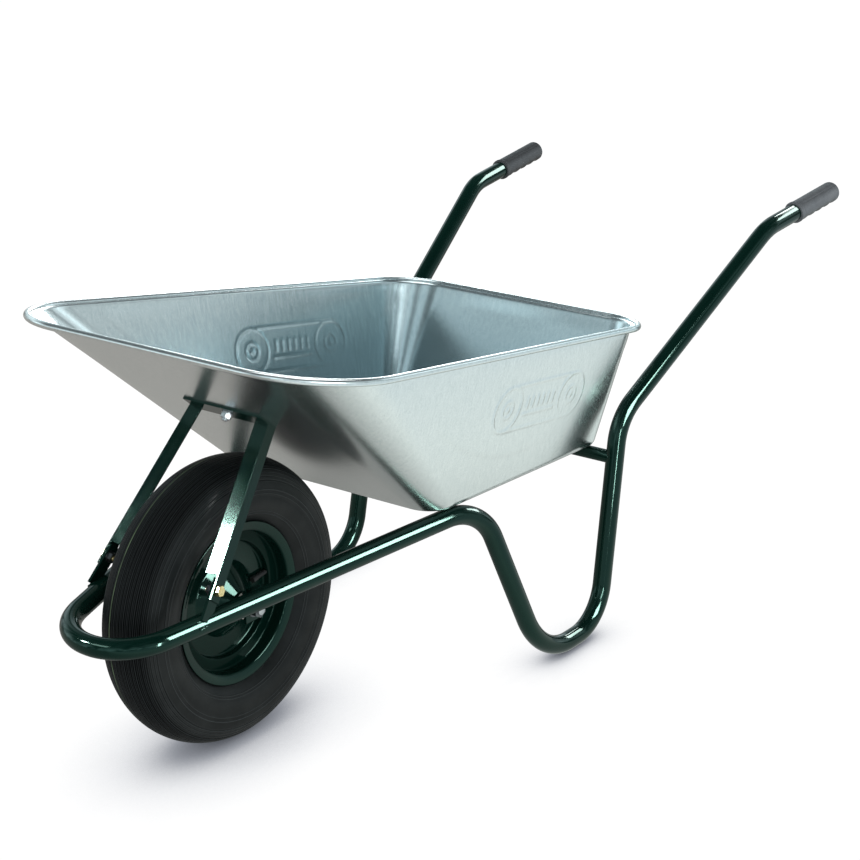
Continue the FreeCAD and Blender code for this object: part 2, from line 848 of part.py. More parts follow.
def make_axle_brackets(frame_outside):
    """A plate beside the hub and a strap that climbs from it to the frame tube."""
    skin = size("bracket_sheet")
    width = size("bracket_width")
    wheel = (number("wheel_y"), number("wheel_radius"))
    for side, name in SIDES:
        drop = size("bracket_drop")
        rise = size("bracket_rise")
        inner = size("bracket_x")
        low = (across(inner, skin, side), size("wheel_y") - width / 2,
               size("wheel_radius") - drop)
        plate = box("bracket_plate_" + name, skin, width, drop + rise, low)
        turn = FreeCAD.Rotation(Y_AXIS, -number("strap_slope"))
        if side == LEFT:
            turn = FreeCAD.Rotation(Z_AXIS, HALF_TURN).multiply(turn)
        corner = place((side * inner.number, wheel[0], wheel[1] + rise.number - skin.number),
                       turn)
        strap = box("bracket_strap_" + name, size("strap_length"), width, skin,
                    (0, -width / 2, 0), corner)
        joined = fuse("bracket_joined_" + name, plate, strap)
        coped = cut("bracket_coped_" + name, joined, frame_outside)
        hole = cylinder("bracket_hole_" + name, size("axle_radius"), skin * TOOL_REACH,
                        (across(inner - skin, skin * TOOL_REACH, side), size("wheel_y"),
                         size("wheel_radius")), X_AXIS)
        node(cut("axle_bracket_" + name, coped, hole), "axle_bracket_" + name)


# ---------------------------------------------------------------- front stay


def stay_frame(side):
    """At the foot of a leg's front flange: Z up the leg, X outwards, Y to the rear."""
    foot = FreeCAD.Vector(number("stay_foot_x"), number("stay_foot_y"),
                          number("stay_foot_height"))
    head = FreeCAD.Vector(number("stay_head_x"), number("stay_head_y"),
                          number("stay_head_height"))
    up = (head - foot).normalize()
    if side == LEFT:
        foot = mirrored(foot)
        up = mirrored(up)
    outward = X_AXIS * side
    turn = FreeCAD.Rotation(outward, Z_AXIS.cross(outward), up, "ZXY")
    return FreeCAD.Placement(foot, turn), (head - foot).Length


def side_corner(side, along_y, along_z, width):
    """Low corner of a block that starts at the leg's corner line and runs rearwards."""
    return (0, along_y if side == RIGHT else -(along_y + width), along_z)


def make_stay(frame_outside):
    skin = size("stay_sheet")
    flange = size("stay_flange")
    web = size("stay_web")
    tail = size("stay_tail")
    lug = size("lug_sheet")
    pieces = []
    for side, name in SIDES:
        frame, run = stay_frame(side)
        reach = as_size(run * STAY_OVERRUN)
        front = box("stay_front_" + name, flange, skin, reach,
                    side_corner(side, as_size(0), as_size(0), skin), frame)
        low = side_corner(side, as_size(0), -tail, web)
        rib = box("stay_web_" + name, skin, web, reach + tail,
                  (flange - skin, low[1], low[2]), frame)
        pieces += [front, rib]
        lug_low = side_corner(side, as_size(0), -size("lug_length"), web)
        tab = box("lug_plate_" + name, lug, web, size("lug_length") - lug,
                  (flange - skin - lug, lug_low[1], lug_low[2]), frame)
        coped = cut("lug_coped_" + name, tab, frame_outside)
        node(cut("stay_lug_" + name, coped, lug_hole(side, name)), "stay_lug_" + name)
    wall = front_wall_frame(number("front_bolt_y"))
    half = size("strip_half_width")
    strip_low = (-half, -size("strip_width") / 2, 0)
    strip = box("stay_strip", half * 2, size("strip_width"), size("strip_sheet"), strip_low, wall)
    joined = fuse("stay_joined", strip, *pieces)
    big = as_size(number("strip_half_width") * ROOM_SCALE)
    room = box("tub_side", big, big, big, (-big / 2, -big / 2, -big), wall)
    beyond = box("past_strip", big, big, big,
                 (-big / 2, size("strip_width") / 2, -big / 2), wall)
    trimmed = cut("stay_trimmed", cut("stay_below_wall", joined, room), beyond)
    holes = [lug_hole(side, name + "_stay") for side, name in SIDES]
    holes.append(cylinder("strip_hole", size("small_bolt_radius") + size("gap"),
                          size("strip_sheet") * TOOL_REACH, (0, 0, -size("strip_sheet")), Z_AXIS, wall))
    node(cut("front_stay", trimmed, group("stay_holes", holes)), "front_stay")


def lug_bolt_frame(side):
    """Centre of the stay bolt on the outer face of the web, Z pointing outwards."""
    frame, run = stay_frame(side)
    middle = number("stay_web") / 2 * side
    spot = place((number("stay_flange"), middle, -number("lug_bolt_drop")),
                 FreeCAD.Rotation(Z_AXIS, X_AXIS))
    return frame.multiply(spot)


def lug_hole(side, name):
    depth = size("stay_sheet") + size("lug_sheet")
    return cylinder("lug_hole_" + name, size("small_bolt_radius") + size("gap"), depth * TOOL_REACH,
                    (0, 0, -depth * 2), Z_AXIS, lug_bolt_frame(side))


# ---------------------------------------------------------------- fasteners


def bolt(name, frame, grip, spare):
    """A hexagon bolt: head above Z = 0, shank down through the grip and the nut."""
    head = prism(name + "_head", size("small_head_flats"), size("small_head"), (0, 0, 0),
                 Z_AXIS, frame)
    length = grip + spare
    shank = cylinder(name + "_shank", size("small_bolt_radius"), length, (0, 0, -length),
                     Z_AXIS, frame)
    return fuse(name, head, shank)


def nut(name, frame, depth):
    block = prism(name + "_body", size("small_head_flats"), size("small_nut"),
                  (0, 0, -(depth + size("small_nut"))), Z_AXIS, frame)
    bore = cylinder(name + "_bore", size("small_bolt_radius"), size("small_nut"),
                    (0, 0, -(depth + size("small_nut"))), Z_AXIS, frame)
    return cut(name, block, bore)


def washer(name, frame, depth):
    outside = cylinder(name + "_outside", size("small_washer_radius"), size("small_washer"),
                       (0, 0, -(depth + size("small_washer"))), Z_AXIS, frame)
    bore = cylinder(name + "_bore", size("small_bolt_radius"), size("small_washer"),
                    (0, 0, -(depth + size("small_washer"))), Z_AXIS, frame)
    return cut(name, outside, bore)


def make_fasteners():
    spare = size("small_nut") + size("thread_spare")
    stay_grip = size("stay_sheet") + size("lug_sheet")
    bolts = []
    nuts = []
    washers = []
    for side, name in SIDES:
        frame = lug_bolt_frame(side)
        bolts.append(bolt("stay_bolt_" + name, frame, stay_grip, spare))
        washers.append(washer("stay_washer_" + name, frame, stay_grip))
        nuts.append(nut("stay_nut_" + name, frame, stay_grip + size("small_washer")))
    node(group("stay_bolts", bolts), "stay_bolts")
    node(group("stay_washers", washers), "stay_washers")
    node(group("stay_nuts", nuts), "stay_nuts")

    bolts = []
    nuts = []
    washers = []
    rear_grip = size("sheet") + size("gap") * 2 + size("cross_radius") * 2
    for side, name in SIDES:
        frame = rear_bolt_frame(side).multiply(place((0, 0, number("sheet"))))
        bolts.append(bolt("tub_bolt_" + name, frame, rear_grip, spare))
        washers.append(washer("tub_washer_" + name, frame, rear_grip))
        nuts.append(nut("tub_nut_" + name, frame, rear_grip + size("small_washer")))
    node(group("tub_rear_bolts", bolts), "tub_rear_bolts")
    node(group("tub_rear_washers", washers), "tub_rear_washers")
    node(group("tub_rear_nuts", nuts), "tub_rear_nuts")

    inside = front_wall_frame(number("front_bolt_y"))
    flipped = inside.multiply(place((0, 0, -number("front_seat")),
                                    FreeCAD.Rotation(X_AXIS, HALF_TURN)))
    front_grip = size("front_seat") + size("strip_sheet")
    node(bolt("tub_front_bolt", flipped, front_grip, spare), "tub_front_bolt")
    node(washer("tub_front_washer", flipped, front_grip), "tub_front_washer")
    node(nut("tub_front_nut", flipped, front_grip + size("small_washer")), "tub_front_nut")


def main():
    frame_outside = make_frame_tube()
    make_cross_tube(frame_outside)
    for side, name in SIDES:
        make_grip(side, name)
    make_tub()
    make_tyre()
    make_inner_tube()
    make_rims()
    make_valve()
    make_hub()
    make_axle()
    make_axle_brackets(frame_outside)
    make_stay(frame_outside)
    make_fasteners()
    doc.recompute()

    for thing in doc.Objects:
        if "Invalid" in thing.State or "Error" in thing.State:
            raise RuntimeError("%s failed: %s" % (thing.Name, thing.State))
    for thing in NODES:
        if thing.Shape.isNull() or not thing.Shape.isValid():
            raise RuntimeError("%s has no valid shape" % thing.Label)
    os.makedirs("parts", exist_ok=True)
    for thing in NODES:
        thing.Shape.exportStep("parts/%s.step" % thing.Label)


main()
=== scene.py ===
import json
import math
import random

import bpy
import numpy as np
from mathutils import Matrix, Vector, noise

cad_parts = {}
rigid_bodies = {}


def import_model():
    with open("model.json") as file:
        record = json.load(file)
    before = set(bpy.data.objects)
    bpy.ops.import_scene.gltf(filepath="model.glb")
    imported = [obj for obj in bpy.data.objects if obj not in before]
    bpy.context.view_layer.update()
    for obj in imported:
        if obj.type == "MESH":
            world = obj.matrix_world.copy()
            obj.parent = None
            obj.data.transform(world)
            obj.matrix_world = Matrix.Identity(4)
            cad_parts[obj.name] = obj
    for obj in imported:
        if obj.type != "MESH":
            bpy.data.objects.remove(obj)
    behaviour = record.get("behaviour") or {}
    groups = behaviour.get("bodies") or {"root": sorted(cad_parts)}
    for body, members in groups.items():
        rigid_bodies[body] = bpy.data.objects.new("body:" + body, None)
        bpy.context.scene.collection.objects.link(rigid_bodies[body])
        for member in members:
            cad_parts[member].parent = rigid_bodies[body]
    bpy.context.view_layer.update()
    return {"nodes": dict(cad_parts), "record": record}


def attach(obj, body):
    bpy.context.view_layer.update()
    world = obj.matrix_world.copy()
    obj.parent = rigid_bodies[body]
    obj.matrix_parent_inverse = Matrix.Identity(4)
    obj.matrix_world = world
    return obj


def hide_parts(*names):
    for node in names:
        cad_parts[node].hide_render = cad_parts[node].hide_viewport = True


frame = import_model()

random.seed(11)

# Blender works in metres. Sizes of the object are named in millimetres and multiplied by MM.
# +Z is up, the wheel points towards -Y and the handles towards +Y. X runs across.
MM = 0.001
WHEEL = (0.0, -0.4626, 0.2)     # middle of the axle, in metres
SIDES = ((1, "right"), (-1, "left"))


# ---------------- camera

CAMERA_PLACE = (1.73249, -2.26583, 1.32320)
CAMERA_AZIMUTH = 37.3266        # degrees from +Y towards -X
CAMERA_ELEVATION = 19.6281      # degrees downwards
CAMERA_ROLL = -0.7216
CAMERA_LENS = 84.03             # for the sensor width below
SENSOR_WIDTH = 36.0


def add_camera():
    """The camera looks past the wheel at the tub's right side, with a slight roll."""
    azimuth = math.radians(CAMERA_AZIMUTH)
    elevation = math.radians(CAMERA_ELEVATION)
    roll = math.radians(CAMERA_ROLL)
    forward = Vector((-math.cos(elevation) * math.sin(azimuth),
                      math.cos(elevation) * math.cos(azimuth),
                      -math.sin(elevation)))
    right = forward.cross(Vector((0, 0, 1))).normalized()
    up = right.cross(forward)
    rolled_right = right * math.cos(roll) + up * math.sin(roll)
    rolled_up = rolled_right.cross(forward)
    data = bpy.data.cameras.new("camera")
    data.sensor_width = SENSOR_WIDTH
    data.lens = CAMERA_LENS
    data.clip_start = 0.05
    data.clip_end = 60.0
    camera = bpy.data.objects.new("camera", data)
    bpy.context.scene.collection.objects.link(camera)
    turn = Matrix((rolled_right, rolled_up, -forward)).transposed().to_4x4()
    camera.matrix_world = Matrix.Translation(CAMERA_PLACE) @ turn
    bpy.context.scene.camera = camera


# ---------------- materials

SMALL_EDGE = 0.0004     # metres: how wide the edges of small parts look rounded
PLATE_EDGE = 0.0009     # the same for flat steel


class Nodes:
    """A short way to write a node tree."""

    def __init__(self, name):
        self.material = bpy.data.materials.new(name)
        self.material.use_nodes = True
        self.tree = self.material.node_tree
        self.shader = self.tree.nodes["Principled BSDF"]
        self.place = self.add("ShaderNodeTexCoord").outputs["Object"]

    @classmethod
    def reopen(cls, owner, place="Object"):
        """The same helper for a material that is already made, or for the world."""
        again = cls.__new__(cls)
        again.tree = owner.node_tree
        again.shader = again.tree.nodes.get("Principled BSDF")
        again.place = again.add("ShaderNodeTexCoord").outputs[place]
        return again

    def distance_from_axle(self):
        """How far the surface is from the wheel's own axle line."""
        shift = self.add("ShaderNodeMapping")
        shift.inputs["Location"].default_value = [-part for part in WHEEL]
        shift.inputs["Scale"].default_value = (0.0, 1.0, 1.0)
        self.link(self.place, shift.inputs["Vector"])
        length = self.add("ShaderNodeVectorMath", operation="LENGTH")
        self.link(shift.outputs["Vector"], length.inputs[0])
        return length.outputs["Value"]

    def axis(self, letter, vector=None):
        """One coordinate of the place on the surface, or of another vector."""
        split = self.add("ShaderNodeSeparateXYZ")
        self.link(self.place if vector is None else vector, split.inputs["Vector"])
        return split.outputs[letter]

    def facing_up(self):
        """1 where the surface faces up, -1 where it faces down."""
        return self.axis("Z", self.add("ShaderNodeNewGeometry").outputs["Normal"])

    def add(self, kind, **settings):
        made = self.tree.nodes.new(kind)
        for key, value in settings.items():
            setattr(made, key, value)
        return made

    def link(self, source, target):
        self.tree.links.new(source, target)

    def set(self, **values):
        for key, value in values.items():
            self.shader.inputs[key.replace("_", " ")].default_value = value

    def scaled(self, x, y, z):
        mapping = self.add("ShaderNodeMapping")
        mapping.inputs["Scale"].default_value = (x, y, z)
        self.link(self.place, mapping.inputs["Vector"])
        return mapping.outputs["Vector"]

    def noise(self, scale, detail=3.0, rough=0.5, vector=None):
        made = self.add("ShaderNodeTexNoise")
        made.inputs["Scale"].default_value = scale
        made.inputs["Detail"].default_value = detail
        made.inputs["Roughness"].default_value = rough
        self.link(vector if vector is not None else self.place, made.inputs["Vector"])
        return made.outputs["Fac"]

    def ramp(self, source, stops):
        made = self.add("ShaderNodeValToRGB")
        elements = made.color_ramp.elements
        while len(elements) < len(stops):
            elements.new(0.5)
        for element, (position, colour) in zip(elements, stops):
            element.position = position
            if isinstance(colour, (int, float)):
                colour = (colour, colour, colour)
            element.color = (*colour, 1.0)
        self.link(source, made.inputs["Fac"])
        return made.outputs["Color"]

    def mix(self, factor, first, second, blend="MIX"):
        made = self.add("ShaderNodeMix", data_type="RGBA", blend_type=blend)
        for socket, value in ((made.inputs["Factor"], factor), (made.inputs["A"], first),
                              (made.inputs["B"], second)):
            if isinstance(value, (int, float)):
                socket.default_value = value
            elif isinstance(value, tuple):
                socket.default_value = (*value, 1.0)
            else:
                self.link(value, socket)
        for output in made.outputs:
            if output.type == "RGBA":
                return output

    def math(self, operation, first, second=0.0):
        made = self.add("ShaderNodeMath", operation=operation)
        for socket, value in zip(made.inputs, (first, second)):
            if isinstance(value, (int, float)):
                socket.default_value = value
            else:
                self.link(value, socket)
        return made.outputs["Value"]

    def bump(self, height, distance, strength=1.0, before=None):
        made = self.add("ShaderNodeBump")
        made.inputs["Strength"].default_value = strength
        made.inputs["Distance"].default_value = distance
        self.link(height, made.inputs["Height"])
        if before is not None:
            self.link(before, made.inputs["Normal"])
        return made.outputs["Normal"]

    def soft_edges(self, radius):
        made = self.add("ShaderNodeBevel", samples=4)
        made.inputs["Radius"].default_value = radius
        return made.outputs["Normal"]

    def out(self, **sockets):
        for key, source in sockets.items():
            self.link(source, self.shader.inputs[key.replace("_", " ")])
        return self.material


def green_coat(name="green_coat", edge=0.0, gloss=1.40):
    """Dark green powder coat. edge rounds the look of sharp edges, in metres."""
    n = Nodes(name)
    n.set(Metallic=0.0, IOR=gloss)
    n.shader.inputs["Specular Tint"].default_value = (0.55, 1.0, 0.85, 1.0)
    tone = n.ramp(n.noise(9.0, 4.0), [(0.3, (0.0012, 0.0085, 0.0062)),
                                      (0.7, (0.0018, 0.0120, 0.0088))])
    dust = n.ramp(n.noise(420.0, 2.0), [(0.68, 0.0), (0.82, 1.0)])
    colour = n.mix(n.math("MULTIPLY", dust, 0.06), tone, (0.04, 0.08, 0.065))
    rough = n.ramp(n.noise(36.0, 3.0), [(0.3, 0.07), (0.75, 0.12)])
    peel = n.noise(330.0, 2.0, 0.4)
    before = n.soft_edges(edge) if edge else None
    normal = n.bump(peel, 0.00010, 0.16, before)
    return n.out(Base_Color=colour, Roughness=rough, Normal=normal)


def galvanised():
    """Zinc on drawn sheet: vertical streaks, cloudy patches, and painted shade that makes the
    inside darker and bluer low down.
    """
    n = Nodes("galvanised")
    n.set(Metallic=1.0)
    streak = n.noise(30.0, 5.0, 0.65, n.scaled(7.0, 7.0, 0.35))
    fine = n.noise(230.0, 3.0, 0.6, n.scaled(6.0, 6.0, 0.10))
    cloud = n.noise(4.0, 3.0, 0.5)
    base = n.ramp(cloud, [(0.3, (0.74, 0.81, 0.80)), (0.7, (0.82, 0.88, 0.87))])
    dull = n.ramp(streak, [(0.3, (0.58, 0.65, 0.66)), (0.7, (0.95, 0.99, 0.98))])
    lines = n.ramp(fine, [(0.35, (0.55, 0.61, 0.62)), (0.65, (1.0, 1.0, 1.0))])
    colour = n.mix(0.34, n.mix(0.34, base, dull), lines)
    # Painted shade: up-facing inside surfaces are darkened and turned bluer towards the bottom
    # of the tub.
    inside = n.ramp(n.facing_up(), [(0.04, 0.0), (0.12, 1.0)])
    deep = n.ramp(n.math("ADD", n.axis("Z"), n.math("MULTIPLY", streak, 0.06)),
                  [(0.40, (0.60, 0.70, 0.74)), (0.47, (0.76, 0.85, 0.88)),
                   (0.55, (1.0, 1.0, 1.0))])
    colour = n.mix(inside, colour, n.mix(1.0, colour, deep, "MULTIPLY"))
    rough = n.math("ADD", n.math("MULTIPLY", streak, 0.07), n.math("MULTIPLY", cloud, 0.10))
    rough = n.math("ADD", rough, 0.15)
    wave = n.noise(9.0, 2.0, 0.5, n.scaled(1.7, 1.0, 0.35))
    normal = n.bump(wave, 0.004, 0.035)
    normal = n.bump(fine, 0.0003, 0.008, normal)
    return n.out(Base_Color=colour, Roughness=rough, Normal=normal)


def rim_coat():
    """The same paint, duller, and darker down in the rim's well, where its reflection is turned
    down as painted shade.
    """
    material = green_coat("green_coat_rim", 0.0, 1.36)
    n = Nodes.reopen(material)
    # Painted shade: the reflection's strength by distance from the axle, lowest in the well,
    # highest on the flange.
    well_shade_and_gloss = n.ramp(n.math("DIVIDE", n.distance_from_axle(), 0.12),
                   [(0.30, 0.30), (0.44, 0.42), (0.66, 0.30), (0.71, 0.10), (0.83, 0.10),
                    (0.86, 0.50)])
    n.link(well_shade_and_gloss, n.shader.inputs["Specular IOR Level"])
    return material


PALE_LINE = 0.0125              # metres to the left of the tyre's middle
PALE_LINE_HALF_WIDTH = 0.0008


def tyre_rubber():
    """Black tread, paler sidewalls, painted highlights on the rib edges, a thin pale green line
    round the tread.
    """
    n = Nodes("tyre_rubber")
    n.set(Metallic=0.0, IOR=1.25)
    tread = n.ramp(n.noise(14.0, 4.0), [(0.3, (0.0008, 0.0011, 0.0012)),
                                        (0.7, (0.0022, 0.0028, 0.0030))])
    wall = n.ramp(n.noise(30.0, 5.0), [(0.3, (0.0060, 0.0078, 0.0080)),
                                       (0.7, (0.0130, 0.0155, 0.0155))])
    from_axle = n.distance_from_axle()
    side = n.ramp(n.math("DIVIDE", from_axle, 0.25), [(0.72, 1.0), (0.755, 0.0)])
    tone = n.mix(side, tread, wall)
    scuff = n.ramp(n.noise(160.0, 3.0), [(0.62, 0.0), (0.75, 1.0)])
    colour = n.mix(n.math("MULTIPLY", scuff, 0.16), tone, (0.022, 0.025, 0.026))
    off_line = n.math("ABSOLUTE", n.math("ADD", n.axis("X"), PALE_LINE))
    on_line = n.math("MULTIPLY", n.math("LESS_THAN", off_line, PALE_LINE_HALF_WIDTH),
                     n.math("GREATER_THAN", from_axle, 0.18))
    # The pale line is fainter in patches.
    patches_and_shade = n.ramp(n.noise(28.0, 3.0), [(0.35, 0.25), (0.6, 0.8)])
    colour = n.mix(n.math("MULTIPLY", on_line, patches_and_shade), colour, (0.16, 0.24, 0.13))
    # Painted highlight: a paler colour on the sharp edges of the ribs, found by their
    # pointiness.
    edge_highlight = n.ramp(n.add("ShaderNodeNewGeometry").outputs["Pointiness"],
                    [(0.512, 0.0), (0.540, 0.7)])
    colour = n.mix(edge_highlight, colour, (0.040, 0.048, 0.050))
    rough = n.ramp(n.noise(24.0, 3.0), [(0.3, 0.30), (0.7, 0.44)])
    level = n.ramp(side, [(0.0, 0.16), (1.0, 0.60)])
    normal = n.bump(n.noise(900.0, 2.0, 0.6), 0.00012, 0.35)
    return n.out(Base_Color=colour, Roughness=rough, Normal=normal, Specular_IOR_Level=level)


def grip_plastic():
    """Grey moulded plastic with a fine grain. Painted light makes it palest on its sides and
    darkest beneath, and painted shade makes the left grip darker.
    """
    n = Nodes("grip_plastic")
    n.set(Metallic=0.0, IOR=1.46)
    tone = n.ramp(n.noise(40.0, 4.0), [(0.3, (0.085, 0.095, 0.105)),
                                       (0.7, (0.115, 0.125, 0.135))])
    speck = n.ramp(n.noise(1400.0, 2.0), [(0.48, 0.0), (0.70, 1.0)])
    colour = n.mix(n.math("MULTIPLY", speck, 0.45), tone, (0.20, 0.21, 0.225))
    # Painted light and shade by facing: palest on the sides, darker on top, darkest beneath.
    up = n.ramp(n.math("ADD", n.math("MULTIPLY", n.facing_up(), 0.5), 0.5),
                [(0.15, 0.20), (0.45, 0.85), (0.62, 1.1), (0.82, 0.72), (0.95, 0.55)])
    # Painted shade: the left grip, at -X, is made darker than the right.
    patches_and_shade = n.ramp(n.math("ADD", n.axis("X"), 0.5), [(0.3, 0.55), (0.7, 1.15)])
    colour = n.mix(1.0, n.mix(1.0, colour, up, "MULTIPLY"), patches_and_shade, "MULTIPLY")
    rough = n.ramp(n.noise(60.0), [(0.3, 0.38), (0.7, 0.5)])
    normal = n.bump(n.noise(1500.0, 2.0, 0.6), 0.00012, 0.5)
    return n.out(Base_Color=colour, Roughness=rough, Normal=normal)


def plated(name, light, dark, low, high):
    """Plated steel between two colours and between a low and a high roughness."""
    n = Nodes(name)
    n.set(Metallic=1.0)
    colour = n.ramp(n.noise(180.0, 4.0), [(0.3, dark), (0.7, light)])
    rough = n.ramp(n.noise(260.0, 3.0), [(0.3, low), (0.7, high)])
    normal = n.bump(n.noise(800.0, 3.0), 0.00008, 0.4, n.soft_edges(SMALL_EDGE))
    return n.out(Base_Color=colour, Roughness=rough, Normal=normal)


def soft_plastic(name, light, dark, low, high):
    """Plain plastic or rubber between two colours and two roughnesses."""
    n = Nodes(name)
    n.set(Metallic=0.0)
    colour = n.ramp(n.noise(120.0, 3.0), [(0.3, dark), (0.7, light)])
    rough = n.ramp(n.noise(90.0, 3.0), [(0.3, low), (0.7, high)])
    normal = n.bump(n.noise(900.0, 2.0), 0.0001, 0.3, n.soft_edges(SMALL_EDGE))
    return n.out(Base_Color=colour, Roughness=rough, Normal=normal)


# ---------------- meshes

def add_piece(name, vertices, faces, material, body, slot, *nodes, sharp=None):
    """Makes a piece, rides it on its body and puts it in place of the CAD nodes."""
    mesh = bpy.data.meshes.new(name)
    mesh.from_pydata([tuple(v) for v in vertices], [], faces)
    mesh.validate()
    mesh.shade_smooth()
    if sharp:
        mesh.set_sharp_from_angle(angle=math.radians(sharp))
    mesh.materials.append(material)
    piece = bpy.data.objects.new(name, mesh)
    bpy.context.scene.collection.objects.link(piece)
    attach(piece, body)
    if nodes:
        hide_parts(*nodes)
    return piece


def grid_faces(rows, columns, wrap_rows, wrap_columns, first=0):
    """Quads between neighbouring points of a rows x columns table of vertices."""
    faces = []
    for row in range(rows if wrap_rows else rows - 1):
        for column in range(columns if wrap_columns else columns - 1):
            next_row = (row + 1) % rows
            next_column = (column + 1) % columns
            faces.append((first + row * columns + column, first + row * columns + next_column,
                          first + next_row * columns + next_column,
                          first + next_row * columns + column))
    return faces


def bent_path(points, bends, run_step=0.02, arc_step=math.radians(3.0)):
    """Points along straight runs joined by tangent arcs."""
    path = [Vector(points[0])]
    start = Vector(points[0])

    def run_to(end):
        count = max(1, round((end - start).length / run_step))
        for index in range(1, count + 1):
            path.append(start.lerp(end, index / count))

    for before, corner, after, radius in zip(points, points[1:], points[2:], bends):
        corner = Vector(corner)
        to_before = (Vector(before) - corner).normalized()
        to_after = (Vector(after) - corner).normalized()
        half = to_before.angle(to_after) / 2
        centre = corner + (to_before + to_after).normalized() * (radius / math.sin(half))
        arc_start = corner + to_before * (radius / math.tan(half))
        run_to(arc_start)
        spoke = arc_start - centre
        axis = to_before.cross(to_after).normalized()
        sweep = math.pi - 2 * half
        count = max(2, round(sweep / arc_step))
        for index in range(1, count + 1):
            turned = Matrix.Rotation(-sweep * index / count, 3, axis) @ spoke
            path.append(centre + turned)
        start = path[-1]
    run_to(Vector(points[-1]))
    return path


def path_frames(path):
    """Tangent and two cross directions at each point, carried along without twist."""
    tangents = []
    for index in range(len(path)):
        before = path[max(index - 1, 0)]
        after = path[min(index + 1, len(path) - 1)]
        tangents.append((after - before).normalized())
    side = tangents[0].orthogonal().normalized()
    frames = []
    for tangent in tangents:
        side = (side - tangent * side.dot(tangent)).normalized()
        frames.append((tangent, side, tangent.cross(side)))
    return frames


def tube_mesh(path, radii, sides):
    """A round tube along a path. radii is one number or a function of (index, angle)."""
    vertices = []
    for index, (point, (_, side, other)) in enumerate(zip(path, path_frames(path))):
        for step in range(sides):
            angle = 2 * math.pi * step / sides
            radius = radii(index, angle) if callable(radii) else radii
            vertices.append(point + side * (math.cos(angle) * radius)
                            + other * (math.sin(angle) * radius))
    return vertices


def hollow_tube(path, outer, inner, sides):
    """Outer and inner skins joined by flat rings at both ends."""
    rows = len(path)
    outside = tube_mesh(path, outer, sides)
    inside = tube_mesh(path, inner, sides)
    faces = [face[::-1] for face in grid_faces(rows, sides, False, True)]
    faces += grid_faces(rows, sides, False, True, len(outside))
    last = (rows - 1) * sides
    shift = len(outside)
    for step in range(sides):
        after = (step + 1) % sides
        faces.append((step, after, shift + after, shift + step)[::-1])
        faces.append((last + step, last + after, shift + last + after, shift + last + step))
    return outside + inside, faces


def revolve(profile, centre, steps):
    """A closed section (x, r) turned round the X line through the centre."""
    section = np.array(profile)
    angles = np.arange(steps) * 2 * math.pi / steps
    across = np.repeat(section[:, 0][:, None], steps, axis=1)
    radius = np.repeat(section[:, 1][:, None], steps, axis=1)
    points = np.stack([centre[0] + across, centre[1] + radius * np.sin(angles)[None, :],
                       centre[2] + radius * np.cos(angles)[None, :]], axis=-1)
    faces = grid_faces(len(section), steps, True, True)
    return points.reshape(-1, 3).tolist(), faces


def rounded_section(points, radii):
    """A closed (x, r) outline with a radius at each corner."""
    arc_step = math.radians(14)
    nearly_straight = math.radians(89.5)
    result = []
    count = len(points)
    for index in range(count):
        corner = Vector(points[index]).to_3d()
        before = Vector(points[index - 1]).to_3d() - corner
        after = Vector(points[(index + 1) % count]).to_3d() - corner
        half = before.angle(after) / 2
        reach = min(radii[index] / max(math.tan(half), 1e-6),
                    before.length * 0.45, after.length * 0.45)
        radius = reach * math.tan(half)
        if radius < 1e-6 or half > nearly_straight:
            result.append((corner.x, corner.y))
            continue
        start = corner + before.normalized() * reach
        end = corner + after.normalized() * reach
        bisector = (before.normalized() + after.normalized()).normalized()
        centre = corner + bisector * (radius / math.sin(half))
        pieces = max(2, int((math.pi - 2 * half) / arc_step))
        for turn in range(pieces + 1):
            blend = turn / pieces
            spoke = (start - centre).normalized().slerp((end - centre).normalized(), blend)
            point = centre + spoke * radius
            result.append((point.x, point.y))
    return result


# ---------------- the frame tube

TUBE = 14 * MM          # outer radius
TUBE_WALL = 1.5 * MM
TUBE_SIDES = 40
# Corner points of the right half's centreline from nose to wrist, and the bend at each.
CORNERS = [(63.6, -707.5, 225.5), (204.3, -148.4, 281.5), (241.0, -47.3, 14.0),
           (241.0, 107.4, 14.0), (234.6, 166.9, 324.3), (284.3, 516.9, 551.7)]
BENDS = [80.0, 80.0, 106.0, 74.0, 90.0, 90.0]
GRIP_END = (294.3, 715.3, 574.7)


def in_metres(point, side):
    """A point given in millimetres for the right half, on the side asked for."""
    return Vector((point[0] * side * MM, point[1] * MM, point[2] * MM))


def half_points(side):
    return [in_metres(point, side) for point in CORNERS + [GRIP_END]]


def frame_path():
    points = half_points(-1)[::-1] + half_points(1)
    bends = [bend * MM for bend in BENDS[::-1] + BENDS]
    return bent_path(points, bends)


def make_frame_tube(paint):
    vertices, faces = hollow_tube(frame_path(), TUBE, TUBE - TUBE_WALL, TUBE_SIDES)
    add_piece("frame_tube_bent", vertices, faces, paint, "frame", "green_coat", "frame_tube",
              sharp=50)


WELD_SIDES = 10
WELD_RADIUS = 1.9 * MM
WELD_START = (-613.0, 235.0)            # y and z of the beads' lower front end
WELD_STEP = (1.5, 0.15)                 # y and z between the points of a bead
WELD_POINTS = 13
LUG_FACES = (("inner", 98.4, 10.6), ("outer", 104.0, 2.6))     # name, x, height over the start


def weld(name, line, paint):
    """A lumpy weld bead with tapered ends, laid along a line of points."""
    lumps = [1.0 + 0.22 * math.sin(index * 1.9) + random.uniform(-0.12, 0.12)
             for index in range(len(line))]
    last = len(line) - 1

    def size_at(index, _):
        ends = min(1.0, 0.25 + min(index, last - index) * 0.4)
        return WELD_RADIUS * lumps[index] * ends

    vertices = tube_mesh(line, size_at, WELD_SIDES)
    faces = [face[::-1] for face in grid_faces(len(line), WELD_SIDES, False, True)]
    faces.append(tuple(range(WELD_SIDES)))
    faces.append(tuple(range(last * WELD_SIDES, (last + 1) * WELD_SIDES))[::-1])
    add_piece(name, vertices, faces, paint, "frame", "green_coat")


